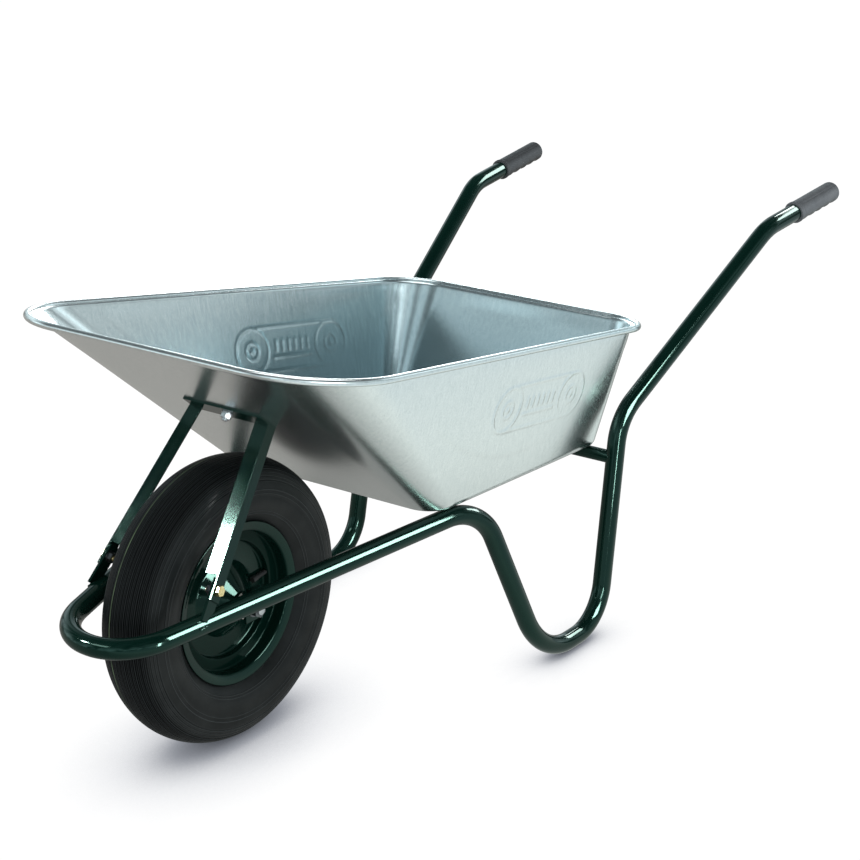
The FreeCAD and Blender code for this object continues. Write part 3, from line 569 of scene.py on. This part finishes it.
def add_welds(paint):
    """Weld beads where both faces of the stay's lugs meet the bent tube."""
    for side, name in SIDES:
        for face, across, rise in LUG_FACES:
            line = [in_metres((across, WELD_START[0] + step * WELD_STEP[0],
                               WELD_START[1] + step * WELD_STEP[1] + rise), side)
                    for step in range(WELD_POINTS)]
            weld("weld_lug_%s_%s" % (face, name), line, paint)


# ---------------- the tub

# Outlines of floor and mouth: half widths, places, corner radii (each front, rear), and
# planes that rise towards the wheel, by their height at y = 0 and their slope in degrees.
FLOOR = {"half": (202.0, 202.0), "y": (-243.0, 166.0), "corner": (46.0, 28.0),
         "height": 282.5, "rise": 2.3}
RIM = {"half": (299.0, 237.0), "y": (-588.9, 263.9), "corner": (127.0, 83.0),
       "height": 490.0, "rise": 9.09}
LIP = 9.0               # from the wall out to the middle of the rolled edge
BEAD = 5.0              # radius of the rolled edge
SHEET = 1.0
FOLD_RADIUS = 15.0      # between floor and walls
FOLD_STEPS = 12
TOP_GAP = 4.0           # where the wall starts to turn outwards, below its top
WALL_ROWS = 84
LIP_STEPS = 6
BEAD_STEPS = 28
BEAD_START = 192.0      # degrees round the rolled edge, from straight out
BEAD_SWEEP = 336.0
STRAIGHT_RUNS = (230, 90, 230, 90)      # steps along each straight side of the outline
ARC_STEPS = 22                          # steps round each of its corners


def outline(shape, inset):
    """Rounded outline in its own plane: the same number of points for floor and mouth."""
    front, rear = shape["y"]
    front += inset
    rear -= inset
    front_half = shape["half"][0] - inset
    rear_half = shape["half"][1] - inset
    corners = [Vector((front_half, front)), Vector((rear_half, rear)),
               Vector((-rear_half, rear)), Vector((-front_half, front))]
    radii = [shape["corner"][0] - inset, shape["corner"][1] - inset,
             shape["corner"][1] - inset, shape["corner"][0] - inset]
    arcs = []
    for index, corner in enumerate(corners):
        before = (corners[index - 1] - corner).normalized()
        after = (corners[(index + 1) % 4] - corner).normalized()
        half = before.angle(after) / 2
        reach = radii[index] / math.tan(half)
        centre = corner + (before + after).normalized() * (radii[index] / math.sin(half))
        start = corner + before * reach - centre
        end = corner + after * reach - centre
        first = math.atan2(start.y, start.x)
        sweep = math.atan2(end.y, end.x) - first
        sweep = (sweep + math.pi) % (2 * math.pi) - math.pi
        arcs.append([centre + Vector((math.cos(first + sweep * step / ARC_STEPS),
                                      math.sin(first + sweep * step / ARC_STEPS)))
                     * radii[index] for step in range(ARC_STEPS + 1)])
    points = []
    for index, count in enumerate(STRAIGHT_RUNS):
        points += arcs[index]
        target = arcs[(index + 1) % 4][0]
        start = arcs[index][-1]
        for step in range(1, count):
            points.append(start.lerp(target, step / count))
    return np.array([[p.x, p.y] for p in points])


def tilted(points, shape):
    """Outline points into space, in the plane that rises towards the wheel."""
    rise = math.radians(shape["rise"])
    along = points[:, 1]
    return np.stack([points[:, 0], along * math.cos(rise),
                     shape["height"] - along * math.sin(rise)], axis=1)


def unit(vectors):
    return vectors / np.linalg.norm(vectors, axis=-1, keepdims=True)


def smooth(value, low, high):
    t = np.clip((value - low) / (high - low), 0, 1)
    return t * t * (3 - 2 * t)


def ridge(distance, width):
    """Height of a pressed line, from its distance to the line's middle."""
    return 1 - smooth(np.abs(distance), width * 0.25, width * 0.75)


# The pressed badge on each side wall, in millimetres back along the floor's side edge and up
# the wall from the low front corner.
BADGE_ENDS = ((112.0, 136.0), (284.0, 116.0))
BADGE_RADIUS = 34.0
BADGE_LINE = 3.8            # width of the badge's frame and rings
BADGE_DEPTH = 1.35
RING_RADIUS = 13.0
DOT = (3.0, 6.0)            # the dot in each ring: flat within the first, gone at the second
BAR_LINE = 5.0              # width of the bars and of the line beneath them
BAR_COUNT = 6
BAR_MARGIN = 52.0           # from the badge's ends to its first and last bar
BAR_HEIGHT = (-3.0, 12.0)
UNDERLINE_MARGIN = 46.0
UNDERLINE_DROP = 13.0
PRESSED_WITHIN = (3.0, 9.0)     # off the wall's plane: pressed in full, not at all
# A low step that sags along the wall under the badge.
STEP_LOW, STEP_MIDDLE, STEP_SAG = 52.0, 190.0, 0.0016
STEP_HEIGHT = 0.45


def badge_height(e1, e2):
    """A plain pressed badge: a long round-ended frame, a ring at each end, short bars."""
    first, second = np.array(BADGE_ENDS)
    run = second - first
    length = np.linalg.norm(run)
    run = run / length
    up = np.array([-run[1], run[0]])
    rel1 = e1 - first[0]
    rel2 = e2 - first[1]
    u = rel1 * run[0] + rel2 * run[1]
    v = rel1 * up[0] + rel2 * up[1]
    along = np.clip(u, 0, length)
    height = ridge(np.hypot(u - along, v) - BADGE_RADIUS, BADGE_LINE)
    for centre in (0.0, length):
        away = np.hypot(u - centre, v)
        for radius in (BADGE_RADIUS, RING_RADIUS):
            height = np.maximum(height, ridge(away - radius, BADGE_LINE))
        height = np.maximum(height, 1 - smooth(away, *DOT))
    bar = np.clip(u, UNDERLINE_MARGIN, length - UNDERLINE_MARGIN)
    height = np.maximum(height, ridge(np.hypot(u - bar, v + UNDERLINE_DROP), BAR_LINE))
    for index in range(BAR_COUNT):
        middle = BAR_MARGIN + index * (length - 2 * BAR_MARGIN) / (BAR_COUNT - 1)
        tall = np.clip(v, *BAR_HEIGHT)
        height = np.maximum(height, ridge(np.hypot(u - middle, v - tall), BAR_LINE))
    return height


def side_wall_plane():
    """The right wall's low front corner, its normal, and its directions back and up."""
    corners = [tilted(np.array([(shape["half"][0] - inset, shape["y"][0] + inset),
                                (shape["half"][1] - inset, shape["y"][1] - inset)]), shape)
               for shape, inset in ((FLOOR, 0.0), (RIM, LIP))]
    low_front, low_rear = corners[0]
    points = np.concatenate(corners)
    normal = np.linalg.svd(points - points.mean(axis=0))[2][2]
    normal = normal * np.sign(normal[0])
    back = unit(low_rear - low_front)
    back = unit(back - normal * (back @ normal))
    up = np.cross(back, normal)
    return low_front, normal, back, up * np.sign(up[2])


def wall_offsets(points):
    """How far the pressed sheet stands out of the plain wall, in millimetres."""
    low_front, normal, back, up = side_wall_plane()
    mirrored = np.concatenate([np.abs(points[..., :1]), points[..., 1:]], axis=-1)
    rel = mirrored - low_front
    e1 = rel @ back
    e2 = rel @ up
    # only the flat part of the side walls is pressed, not the corners nor the other walls
    flat = 1 - smooth(np.abs(rel @ normal), *PRESSED_WITHIN)
    press = badge_height(e1, e2) * BADGE_DEPTH * flat
    curve = STEP_LOW + STEP_SAG * (e1 - STEP_MIDDLE) ** 2
    step = smooth(e2 - curve, -5.0, 5.0) * flat * smooth(e2, 20, 45) * STEP_HEIGHT
    return press + step


def ripples(points, rise):
    """Shallow waves that drawing leaves in the sheet, stronger towards the mouth.
    Their height and their lengths across, along and up are in millimetres."""
    result = np.zeros(points.shape[:2])
    for row in range(points.shape[0]):
        strength = 0.10 + 0.90 * rise[row] ** 2.0
        for column in range(points.shape[1]):
            x, y, z = points[row, column]
            spot = Vector((x / 95.0, y / 62.0, z / 260.0))
            broad = Vector((x / 190.0, y / 170.0, z / 240.0 + 7.0))
            result[row, column] = strength * (noise.noise(spot) * 0.30 * strength
                                              + noise.noise(broad) * 0.7)
    return result


def floor_inward(floor_line):
    """Directions in the floor's plane, square to its outline and into the tub."""
    tangent = unit(np.roll(floor_line, -1, axis=0) - np.roll(floor_line, 1, axis=0))
    flat = np.stack([-tangent[:, 1], tangent[:, 0]], axis=1)
    flat = flat * (1 if np.sign((flat * -floor_line).sum(axis=1)).mean() > 0 else -1)
    rise = math.radians(FLOOR["rise"])
    return np.stack([flat[:, 0], flat[:, 1] * math.cos(rise), -flat[:, 1] * math.sin(rise)],
                    axis=1)


def make_tub(metal):
    """Floor, fold, wall, turned lip and rolled edge, as rings round the tub's outline."""
    floor_line = outline(FLOOR, 0.0)
    floor3 = tilted(floor_line, FLOOR)
    mouth3 = tilted(outline(RIM, LIP), RIM)
    rim3 = tilted(outline(RIM, 0.0), RIM)
    ruling = unit(mouth3 - floor3)
    count = len(floor3)
    inward = floor_inward(floor_line)
    rise = math.radians(FLOOR["rise"])
    up = np.array([0, math.sin(rise), math.cos(rise)])
    angle = np.arccos(np.clip((inward * ruling).sum(axis=1), -1, 1))
    reach = FOLD_RADIUS / np.tan(angle / 2)
    wall_out = unit(np.cross(np.roll(floor3, -1, axis=0) - np.roll(floor3, 1, axis=0)
                             + np.roll(mouth3, -1, axis=0) - np.roll(mouth3, 1, axis=0), ruling))
    wall_out = wall_out * np.sign((wall_out * -inward).sum(axis=1))[:, None]

    # the fold between floor and wall, then the wall; rising is 0 on the fold and 1 at the top
    table = []
    normals = []
    rising = []
    end = floor3 + ruling * reach[:, None]
    centre = floor3 + inward * reach[:, None] + up * FOLD_RADIUS
    for step in range(FOLD_STEPS + 1):
        turned = (math.pi - angle) * (step / FOLD_STEPS)
        across = unit(end - centre - up * ((end - centre) @ up)[:, None])
        spoke = -up * np.cos(turned)[:, None] + across * np.sin(turned)[:, None]
        table.append(centre + spoke * FOLD_RADIUS)
        normals.append(spoke)
        rising.append(0.0)
    top = mouth3 - ruling * TOP_GAP
    last = table[-1]
    for step in range(1, WALL_ROWS + 1):
        blend = step / WALL_ROWS
        table.append(last + (top - last) * blend)
        normals.append(wall_out)
        rising.append(blend)
    table = np.array(table)
    normals = np.array(normals)
    rising = np.array(rising)
    offsets = wall_offsets(table) * smooth(rising, 0.0, 0.05)[:, None]
    offsets = offsets * (1 - smooth(rising, 0.93, 0.99))[:, None]
    waves = ripples(table, rising) * smooth(rising, 0.0, 0.2)[:, None]
    waves = waves * (1 - smooth(rising, 0.86, 1.0))[:, None]
    moved = table + normals * (offsets + waves)[:, :, None]
    inner = moved - normals * SHEET

    # the lip turns outwards from the top of the wall, and the rolled edge hangs on it
    rise = math.radians(RIM["rise"])
    rim_up = np.array([0, math.sin(rise), math.cos(rise)])
    lip_out = unit(rim3 - mouth3)
    outside = []
    inside = []
    for step in range(1, LIP_STEPS + 1):
        turned = step / LIP_STEPS * math.pi / 2
        bend_at = top + (ruling * math.sin(turned) + lip_out * (1 - math.cos(turned))) * TOP_GAP
        outside.append(bend_at)
        inside.append(bend_at - wall_out * SHEET * math.cos(turned)
                      + rim_up * SHEET * math.sin(turned))
    bead = []
    for step in range(BEAD_STEPS + 1):
        turned = math.radians(BEAD_START) + math.radians(BEAD_SWEEP) * step / BEAD_STEPS
        bead.append(rim3 + (lip_out * math.cos(turned) + rim_up * math.sin(turned)) * BEAD)
    rings = np.array(list(moved) + outside + bead + inside[::-1] + list(inner[::-1]))
    vertices = (rings.reshape(-1, 3) * MM).tolist()
    faces = grid_faces(len(rings), count, False, True)
    faces.append(tuple(range(count))[::-1])
    last_row = (len(rings) - 1) * count
    faces.append(tuple(range(last_row, last_row + count)))
    add_piece("tub_pressing", vertices, faces, metal, "frame", "galvanised_sheet", "tub",
              sharp=60)


# ---------------- the wheel

# Points of the tyre's section: distance from the middle, distance from the axle.
SHOULDER = (36 * MM, 189 * MM)
WAIST = (47 * MM, 151 * MM)
BEAD_TOP = (31 * MM, 114.5 * MM)
SEAT = 101.5 * MM               # the beads sit on the rim here
SEAT_INNER, SEAT_OUTER = 19 * MM, 28 * MM
SIDEWALL = 46 * MM              # radius of the sidewall's curve
CROWN = 11 * MM                 # rise of the tread over the shoulders
CAVITY = 38 * MM                # radius of the hollow
CAVITY_STEPS = 48
TYRE_STEPS = 200
# Grooves between the ribs, in millimetres measured along the surface from the tread's middle.
GROOVE_PITCH = 5.0
GROOVE_DEPTH = 1.3
GROOVES = 12                    # on each side of the middle
GROOVE_LIMIT = 62
# Raised rings on the sidewall: distance along the surface, height, width.
SIDEWALL_RINGS = ((70.0, 0.9, 1.0), (75.5, 0.6, 0.8), (100.5, 0.5, 0.8), (104.5, 0.8, 0.9))


def arc_between(first, second, radius, step=0.5 * MM):
    """Points on the short arc between two section points, bulging to the right of the way."""
    first = Vector(first)
    second = Vector(second)
    chord = second - first
    half = chord.length / 2
    middle = (first + second) / 2
    across = Vector((chord.y, -chord.x)).normalized()
    centre = middle - across * math.sqrt(max(radius * radius - half * half, 0.0))
    start = first - centre
    sweep = 2 * math.asin(min(1.0, half / radius))
    count = max(2, round(abs(sweep) * radius / step))
    points = []
    for index in range(count + 1):
        turn = sweep * index / count
        points.append((centre.x + start.x * math.cos(turn) - start.y * math.sin(turn),
                       centre.y + start.x * math.sin(turn) + start.y * math.cos(turn)))
    return points


def tread_relief(from_middle):
    """Height of ribs, grooves and rings, in millimetres, along the tyre's outer surface."""
    relief = np.zeros(len(from_middle))
    for index in range(-GROOVES, GROOVES + 1):
        spot = (index + 0.5) * GROOVE_PITCH
        if abs(spot) > GROOVE_LIMIT:
            continue
        width = 0.75 if abs(index) % 3 else 1.1
        relief -= (1 - smooth(np.abs(from_middle - spot), width * 0.5, width)) * GROOVE_DEPTH
    for spot, tall, width in SIDEWALL_RINGS:
        relief += ridge(np.abs(np.abs(from_middle) - spot), width) * tall
    return relief


def tyre_section():
    """The tyre's closed outline: sidewall, tread, sidewall, bead and hollow."""
    tread = (SHOULDER[0] ** 2 + CROWN ** 2) / (CROWN * 2)
    right = (arc_between(BEAD_TOP, WAIST, SIDEWALL)
             + arc_between(WAIST, SHOULDER, SIDEWALL)[1:])
    top = arc_between(SHOULDER, (-SHOULDER[0], SHOULDER[1]), tread)[1:]
    left = [(-x, r) for x, r in right[::-1]][1:]
    outer = np.array(right + top + left)
    steps = np.linalg.norm(np.diff(outer, axis=0), axis=1)
    along = np.concatenate([[0], np.cumsum(steps)])
    tangent = np.gradient(outer, axis=0)
    normal = unit(np.stack([tangent[:, 1], -tangent[:, 0]], axis=1))
    ring = WAIST[1]
    inside_point = np.array([0, 150 * MM])
    normal = normal * np.sign((normal * (outer - inside_point)).sum(axis=1))[:, None]
    relief = tread_relief((along - along[-1] / 2) / MM)
    outer = outer + normal * relief[:, None] * MM
    lip_r = ring - math.sqrt(CAVITY ** 2 - SEAT_INNER ** 2)
    first = math.atan2(lip_r - ring, -SEAT_INNER)
    sweep = -(2 * math.pi - 2 * math.asin(SEAT_INNER / CAVITY))
    points = [tuple(p) for p in outer]
    points += [(-SEAT_OUTER, SEAT), (-SEAT_INNER, SEAT)]
    for index in range(CAVITY_STEPS + 1):
        turn = first + sweep * index / CAVITY_STEPS
        points.append((CAVITY * math.cos(turn), ring + CAVITY * math.sin(turn)))
    return points + [(SEAT_INNER, SEAT), (SEAT_OUTER, SEAT)]


def make_tyre(rubber):
    vertices, faces = revolve(tyre_section(), WHEEL, TYRE_STEPS)
    add_piece("tyre_moulded", vertices, faces, rubber, "wheel", "tyre_rubber", "tyre")


# The rim halves' section in millimetres: half widths and radii of each step of the pressing.
RIM_SKIN = 1.8
HUB_X, HUB_R = 32, 17.5
CONE_R = 53
WELL_X, WELL_R = 12, 84
BED_X, BED_R = 30, 101.5
FLANGE_X, FLANGE_R = 33.5, 113.5
RIM_STEPS = 160


def make_rims(paint):
    """Two pressed halves, back to back: hub seat, cone, disc, well, bed and flange."""
    skin = RIM_SKIN
    points = [(HUB_X, HUB_R), (HUB_X + skin, HUB_R), (skin, CONE_R + skin / 2),
              (skin, WELL_R - skin), (WELL_X, WELL_R - skin), (WELL_X, BED_R - skin),
              (BED_X, BED_R - skin), (FLANGE_X, FLANGE_R), (FLANGE_X - skin, FLANGE_R),
              (BED_X - skin, BED_R), (WELL_X - skin, BED_R), (WELL_X - skin, WELL_R),
              (0, WELL_R), (0, CONE_R)]
    radii = [0.5, 0.5, 4, 3, 1.5, 3, 2.5, 0.8, 0.8, 1.5, 1.0, 2.5, 1.0, 2.5]
    for side, name in SIDES:
        section = rounded_section([(x * side * MM, r * MM) for x, r in points],
                                  [r * MM for r in radii])
        if side < 0:
            section = section[::-1]
        vertices, faces = revolve(section, WHEEL, RIM_STEPS)
        add_piece("rim_pressed_" + name, vertices, faces, paint, "wheel", "green_coat",
                  "rim_half_" + name, sharp=35)


# ---------------- the grips

GRIP_LENGTH = 122 * MM
GRIP_END_WALL = 5 * MM          # plastic past the end of the tube
GRIP_RADIUS = 16.7 * MM
GRIP_ROUND = 7 * MM             # rounding at the far end
GRIP_ROWS = 110
GRIP_SIDES = 72
BORE_ROWS = 3
COLLAR = 0.9 * MM
FINGER_WAVES = 4
GROOVE_ANGLES = (34.0, -34.0)   # degrees to either side of the top
GROOVE_WIDTH = 7.0              # degrees


def grip_radius(spot, angle):
    """Radius of the sleeve at a distance past the tube's end and an angle round it."""
    from_start = spot - (GRIP_END_WALL - GRIP_LENGTH)
    t = from_start / GRIP_LENGTH
    collar = COLLAR * (1 - smooth(from_start, 5.2 * MM, 6.6 * MM))
    lip = -COLLAR * (1 - smooth(from_start, 0.0, COLLAR))
    radius = GRIP_RADIUS + collar + lip
    held = smooth(t, 0.10, 0.16) * (1 - smooth(t, 0.90, 0.96))
    under = max(0.0, -math.sin(angle)) ** 1.6
    wave = math.cos((t - 0.14) / 0.76 * FINGER_WAVES * 2 * math.pi)
    radius += under * held * (0.9 * MM * wave - 0.7 * MM)
    facet = max(0.0, math.cos(4 * (angle - math.pi / 2))) if math.sin(angle) > -0.3 else 0.0
    radius -= 0.35 * MM * facet * held
    for groove in GROOVE_ANGLES:
        near = abs(math.degrees(angle) - 90.0 - groove)
        radius -= 0.8 * MM * float(ridge(near, GROOVE_WIDTH)) * held
    left = GRIP_END_WALL - spot
    if left < GRIP_ROUND:
        radius -= GRIP_ROUND - math.sqrt(max(0.0, GRIP_ROUND ** 2 - (GRIP_ROUND - left) ** 2))
    return radius


def make_grip(side, name, plastic):
    """A moulded sleeve: collar, flat facets and two grooves on top, finger waves beneath."""
    wrist = in_metres(CORNERS[-1], side)
    tip = in_metres(GRIP_END, side)
    along = (tip - wrist).normalized()
    right = along.cross(Vector((0, 0, 1))).normalized()
    top = right.cross(along)
    foot = GRIP_END_WALL - GRIP_LENGTH
    angles = [2 * math.pi * column / GRIP_SIDES for column in range(GRIP_SIDES)]
    spokes = [right * math.cos(angle) + top * math.sin(angle) for angle in angles]
    vertices = []
    for row in range(GRIP_ROWS + 1):
        spot = foot + GRIP_LENGTH * row / GRIP_ROWS
        vertices += [tip + along * spot + spoke * grip_radius(spot, angle)
                     for angle, spoke in zip(angles, spokes)]
    outer_count = len(vertices)
    faces = grid_faces(GRIP_ROWS + 1, GRIP_SIDES, False, True)
    for row in range(BORE_ROWS):
        spot = foot + (GRIP_LENGTH - GRIP_END_WALL) * row / (BORE_ROWS - 1)
        vertices += [tip + along * spot + spoke * TUBE for spoke in spokes]
    faces += [face[::-1] for face in grid_faces(BORE_ROWS, GRIP_SIDES, False, True, outer_count)]
    for column in range(GRIP_SIDES):
        after = (column + 1) % GRIP_SIDES
        faces.append((column, outer_count + column, outer_count + after, after))
    end = GRIP_ROWS * GRIP_SIDES
    faces.append(tuple(range(end, end + GRIP_SIDES)))
    deep = outer_count + (BORE_ROWS - 1) * GRIP_SIDES
    faces.append(tuple(range(deep, deep + GRIP_SIDES))[::-1])
    add_piece("grip_moulded_" + name, vertices, faces, plastic, "frame", "grip_plastic",
              "grip_" + name, sharp=45)


# ---------------- stage and lights

FLOOR_HALF = 14.0
SHADOW_REACH = 0.20             # metres: how near a thing must be to darken the floor
# What shiny surfaces see in the floor, from left to right: painted shade, darkest near the
# middle beneath the tub, bright to its right.
FLOOR_BOUNCE = [(0.0, (0.38, 0.365, 0.345)), (0.42, (0.27, 0.275, 0.265)),
                (0.74, (0.86, 0.92, 0.89)), (1.0, (0.66, 0.76, 0.80))]
# What they see in the room, from the horizon up.
SKY = [(0.0, (0.42, 0.50, 0.53)), (0.13, (0.86, 0.99, 1.03)), (0.34, (0.66, 0.78, 0.82)),
       (0.62, (0.14, 0.165, 0.175)), (1.0, (0.04, 0.05, 0.055))]
ROOM_LIGHT = 1.16
# Softboxes that are only seen in gloss: name, place, aim, size, power.
PAINT_LIGHTS = (
    ("side_softbox", (1.75, -0.07, 1.10), (0.1, -0.2, 0.35), (0.86, 0.95), 130),
    ("front_strip", (2.1, -1.05, 0.45), (0.1, 0.0, 0.3), (0.16, 0.9), 26),
    ("stay_softbox", (-0.86, -1.36, 1.13), (0.087, -0.565, 0.30), (0.20, 0.26), 0.55),
    ("nose_softbox", (-0.85, -2.7, 2.2), (0.0, -0.6, 0.3), (1.3, 0.5), 14))
TUBE_LIGHTS = (
    ("back_softbox", (0.5, 2.5, 1.70), (0.29, 0.65, 0.55), (1.9, 0.9), 110),)
SHEET_LIGHTS = (
    ("corner_glow", (2.3, -1.5, 0.95), (0.0, 0.1, 0.45), (1.5, 0.8), 12),
    ("far_glow", (-1.7, 2.2, 1.15), (0.2, 0.0, 0.4), (1.3, 0.8), 22),
    ("top_glow", (0.0, -0.1, 2.9), (0.0, -0.1, 0.3), (2.2, 2.2), 30))
STAY_SPREAD = math.radians(14)


def add_stage():
    """A pale floor that fades into the white of the room, with soft contact shadows."""
    n = Nodes("floor_pale")
    near = n.add("ShaderNodeAmbientOcclusion", samples=16)
    near.inputs["Distance"].default_value = SHADOW_REACH
    near.inputs["Normal"].default_value = (0.42, 0.42, 0.80)
    grain = n.ramp(n.noise(3.0), [(0.3, (0.99, 0.99, 0.99)), (0.7, (1.0, 1.0, 1.0))])
    shade = n.ramp(near.outputs["AO"],
                   [(0.0, (0.035, 0.04, 0.05)), (0.45, (0.30, 0.315, 0.35)),
                    (0.78, (0.86, 0.87, 0.89)), (0.93, (1.04, 1.04, 1.04))])
    n.set(Roughness=0.9, Specular_IOR_Level=0.0, Emission_Strength=1.0)
    n.shader.inputs["Base Color"].default_value = (0.0, 0.0, 0.0, 1.0)
    n.link(n.mix(1.0, shade, grain, "MULTIPLY"), n.shader.inputs["Emission Color"])
    # Glossy rays see a glowing floor instead, with the painted shade of FLOOR_BOUNCE.
    across = n.math("ADD", n.math("MULTIPLY", n.axis("X"), 0.8), 0.4)
    bounce = n.add("ShaderNodeEmission")
    n.link(n.ramp(across, FLOOR_BOUNCE), bounce.inputs["Color"])
    ray = n.add("ShaderNodeLightPath")
    blend = n.add("ShaderNodeMixShader")
    n.link(ray.outputs["Is Glossy Ray"], blend.inputs["Fac"])
    n.link(n.shader.outputs["BSDF"], blend.inputs[1])
    n.link(bounce.outputs["Emission"], blend.inputs[2])
    output = [item for item in n.tree.nodes if item.type == "OUTPUT_MATERIAL"][0]
    n.link(blend.outputs["Shader"], output.inputs["Surface"])
    mesh = bpy.data.meshes.new("floor")
    half = FLOOR_HALF
    mesh.from_pydata([(-half, -half, 0), (half, -half, 0), (half, half, 0), (-half, half, 0)],
                     [], [(0, 1, 2, 3)])
    mesh.materials.append(n.material)
    floor = bpy.data.objects.new("floor", mesh)
    bpy.context.scene.collection.objects.link(floor)


def add_light(name, place, aim, size, power):
    """A rectangular area light at a place, turned to its aim."""
    data = bpy.data.lights.new(name, "AREA")
    data.shape = "RECTANGLE"
    data.size, data.size_y = size
    data.energy = power
    light = bpy.data.objects.new(name, data)
    bpy.context.scene.collection.objects.link(light)
    light.location = place
    direction = Vector(aim) - Vector(place)
    light.rotation_euler = direction.to_track_quat("-Z", "Y").to_euler()
    return light


def collected(name, pieces):
    """A collection for light linking."""
    made = bpy.data.collections.new(name)
    for piece in pieces:
        made.objects.link(piece)
    return made


def is_painted(piece):
    """Whether the softboxes for paint shine on a piece: paint and yellow zinc, not the lugs."""
    if piece.type != "MESH" or not piece.data.materials or piece.name.startswith("stay_lug"):
        return False
    return piece.data.materials[0].name.startswith(("green", "yellow"))


def add_lights():
    """One diffuse key light, and softboxes that only the named surfaces mirror."""
    key = add_light("key", (-1.0, -0.9, 2.7), (0.1, 0.0, 0.2), (1.6, 1.6), 16)
    key.visible_glossy = False
    objects = bpy.data.objects
    painted = collected("painted", [piece for piece in objects if is_painted(piece)])
    tubes = collected("tubes", [objects["frame_tube_bent"]])
    sheet_metal = collected("sheet_metal", [objects["tub_pressing"]])
    for receivers, rows in ((painted, PAINT_LIGHTS), (tubes, TUBE_LIGHTS),
                            (sheet_metal, SHEET_LIGHTS)):
        for row in rows:
            light = add_light(*row)
            light.visible_diffuse = False
            light.light_linking.receiver_collection = receivers
    bpy.data.lights["stay_softbox"].spread = STAY_SPREAD


def add_world():
    """Even light from all round; in gloss, a bright band with uneven patches instead."""
    world = bpy.data.worlds.new("room")
    bpy.context.scene.world = world
    world.use_nodes = True
    n = Nodes.reopen(world, "Generated")
    sky = n.ramp(n.axis("Z"), SKY)
    uneven = n.add("ShaderNodeMapRange")
    for socket, value in (("From Min", 0.40), ("From Max", 0.60), ("To Min", 0.25),
                          ("To Max", 1.75)):
        uneven.inputs[socket].default_value = value
    n.link(n.noise(1.6, 2.0, 0.5, n.scaled(2.6, 2.6, 1.1)), uneven.inputs["Value"])
    studio = n.add("ShaderNodeVectorMath", operation="SCALE")
    n.link(sky, studio.inputs[0])
    n.link(uneven.outputs["Result"], studio.inputs["Scale"])
    gloss = n.add("ShaderNodeLightPath").outputs["Is Glossy Ray"]
    light = n.mix(gloss, (ROOM_LIGHT, ROOM_LIGHT, ROOM_LIGHT), studio.outputs["Vector"])
    n.link(light, n.tree.nodes["Background"].inputs["Color"])


# ---------------- everything

add_camera()
PAINT = green_coat()
EDGED_PAINT = green_coat("green_coat_edged", PLATE_EDGE)
RIM_PAINT = rim_coat()
STAY_PAINT = green_coat("green_coat_stay", PLATE_EDGE, 1.33)
METAL = galvanised()
RUBBER = tyre_rubber()
PLASTIC = grip_plastic()
ZINC = plated("clear_zinc", (0.62, 0.64, 0.66), (0.44, 0.46, 0.48), 0.22, 0.36)
SHADED_ZINC = plated("shaded_zinc", (0.20, 0.21, 0.22), (0.10, 0.105, 0.11), 0.3, 0.45)
YELLOW = plated("yellow_zinc", (0.80, 0.68, 0.36), (0.60, 0.46, 0.20), 0.22, 0.36)
NYLON = soft_plastic("bush_nylon", (0.62, 0.61, 0.57), (0.5, 0.49, 0.45), 0.35, 0.5)
BLACK = soft_plastic("valve_black", (0.02, 0.02, 0.02), (0.01, 0.01, 0.01), 0.35, 0.5)

FINISH = {"green_coat": EDGED_PAINT, "galvanised_sheet": METAL, "tyre_rubber": RUBBER,
          "tube_rubber": RUBBER, "grip_plastic": PLASTIC, "bush_nylon": NYLON,
          "valve_black": BLACK, "yellow_zinc": YELLOW, "clear_zinc": ZINC}
for row in frame["record"]["subparts"]:
    node = frame["nodes"][row["node"]]
    finish = FINISH[row["material_slot"]]
    # Painted shade: the axle's and the stay's zinc parts get a darker copy of the zinc, as they
    # sit in shade under the tub and the tube.
    if row["material_slot"] == "clear_zinc" and row["node"].startswith(("axle_", "stay_")):
        finish = SHADED_ZINC
    elif row["node"].startswith(("front_stay", "stay_lug")):
        finish = STAY_PAINT
    for slot in node.material_slots:
        slot.material = finish

make_frame_tube(PAINT)
add_welds(PAINT)
make_tub(METAL)
make_tyre(RUBBER)
make_rims(RIM_PAINT)
for side, name in SIDES:
    make_grip(side, name, PLASTIC)

add_stage()
add_lights()
add_world()
scene = bpy.context.scene
scene.view_settings.view_transform = "Standard"
scene.view_settings.look = "None"

bpy.context.view_layer.update()
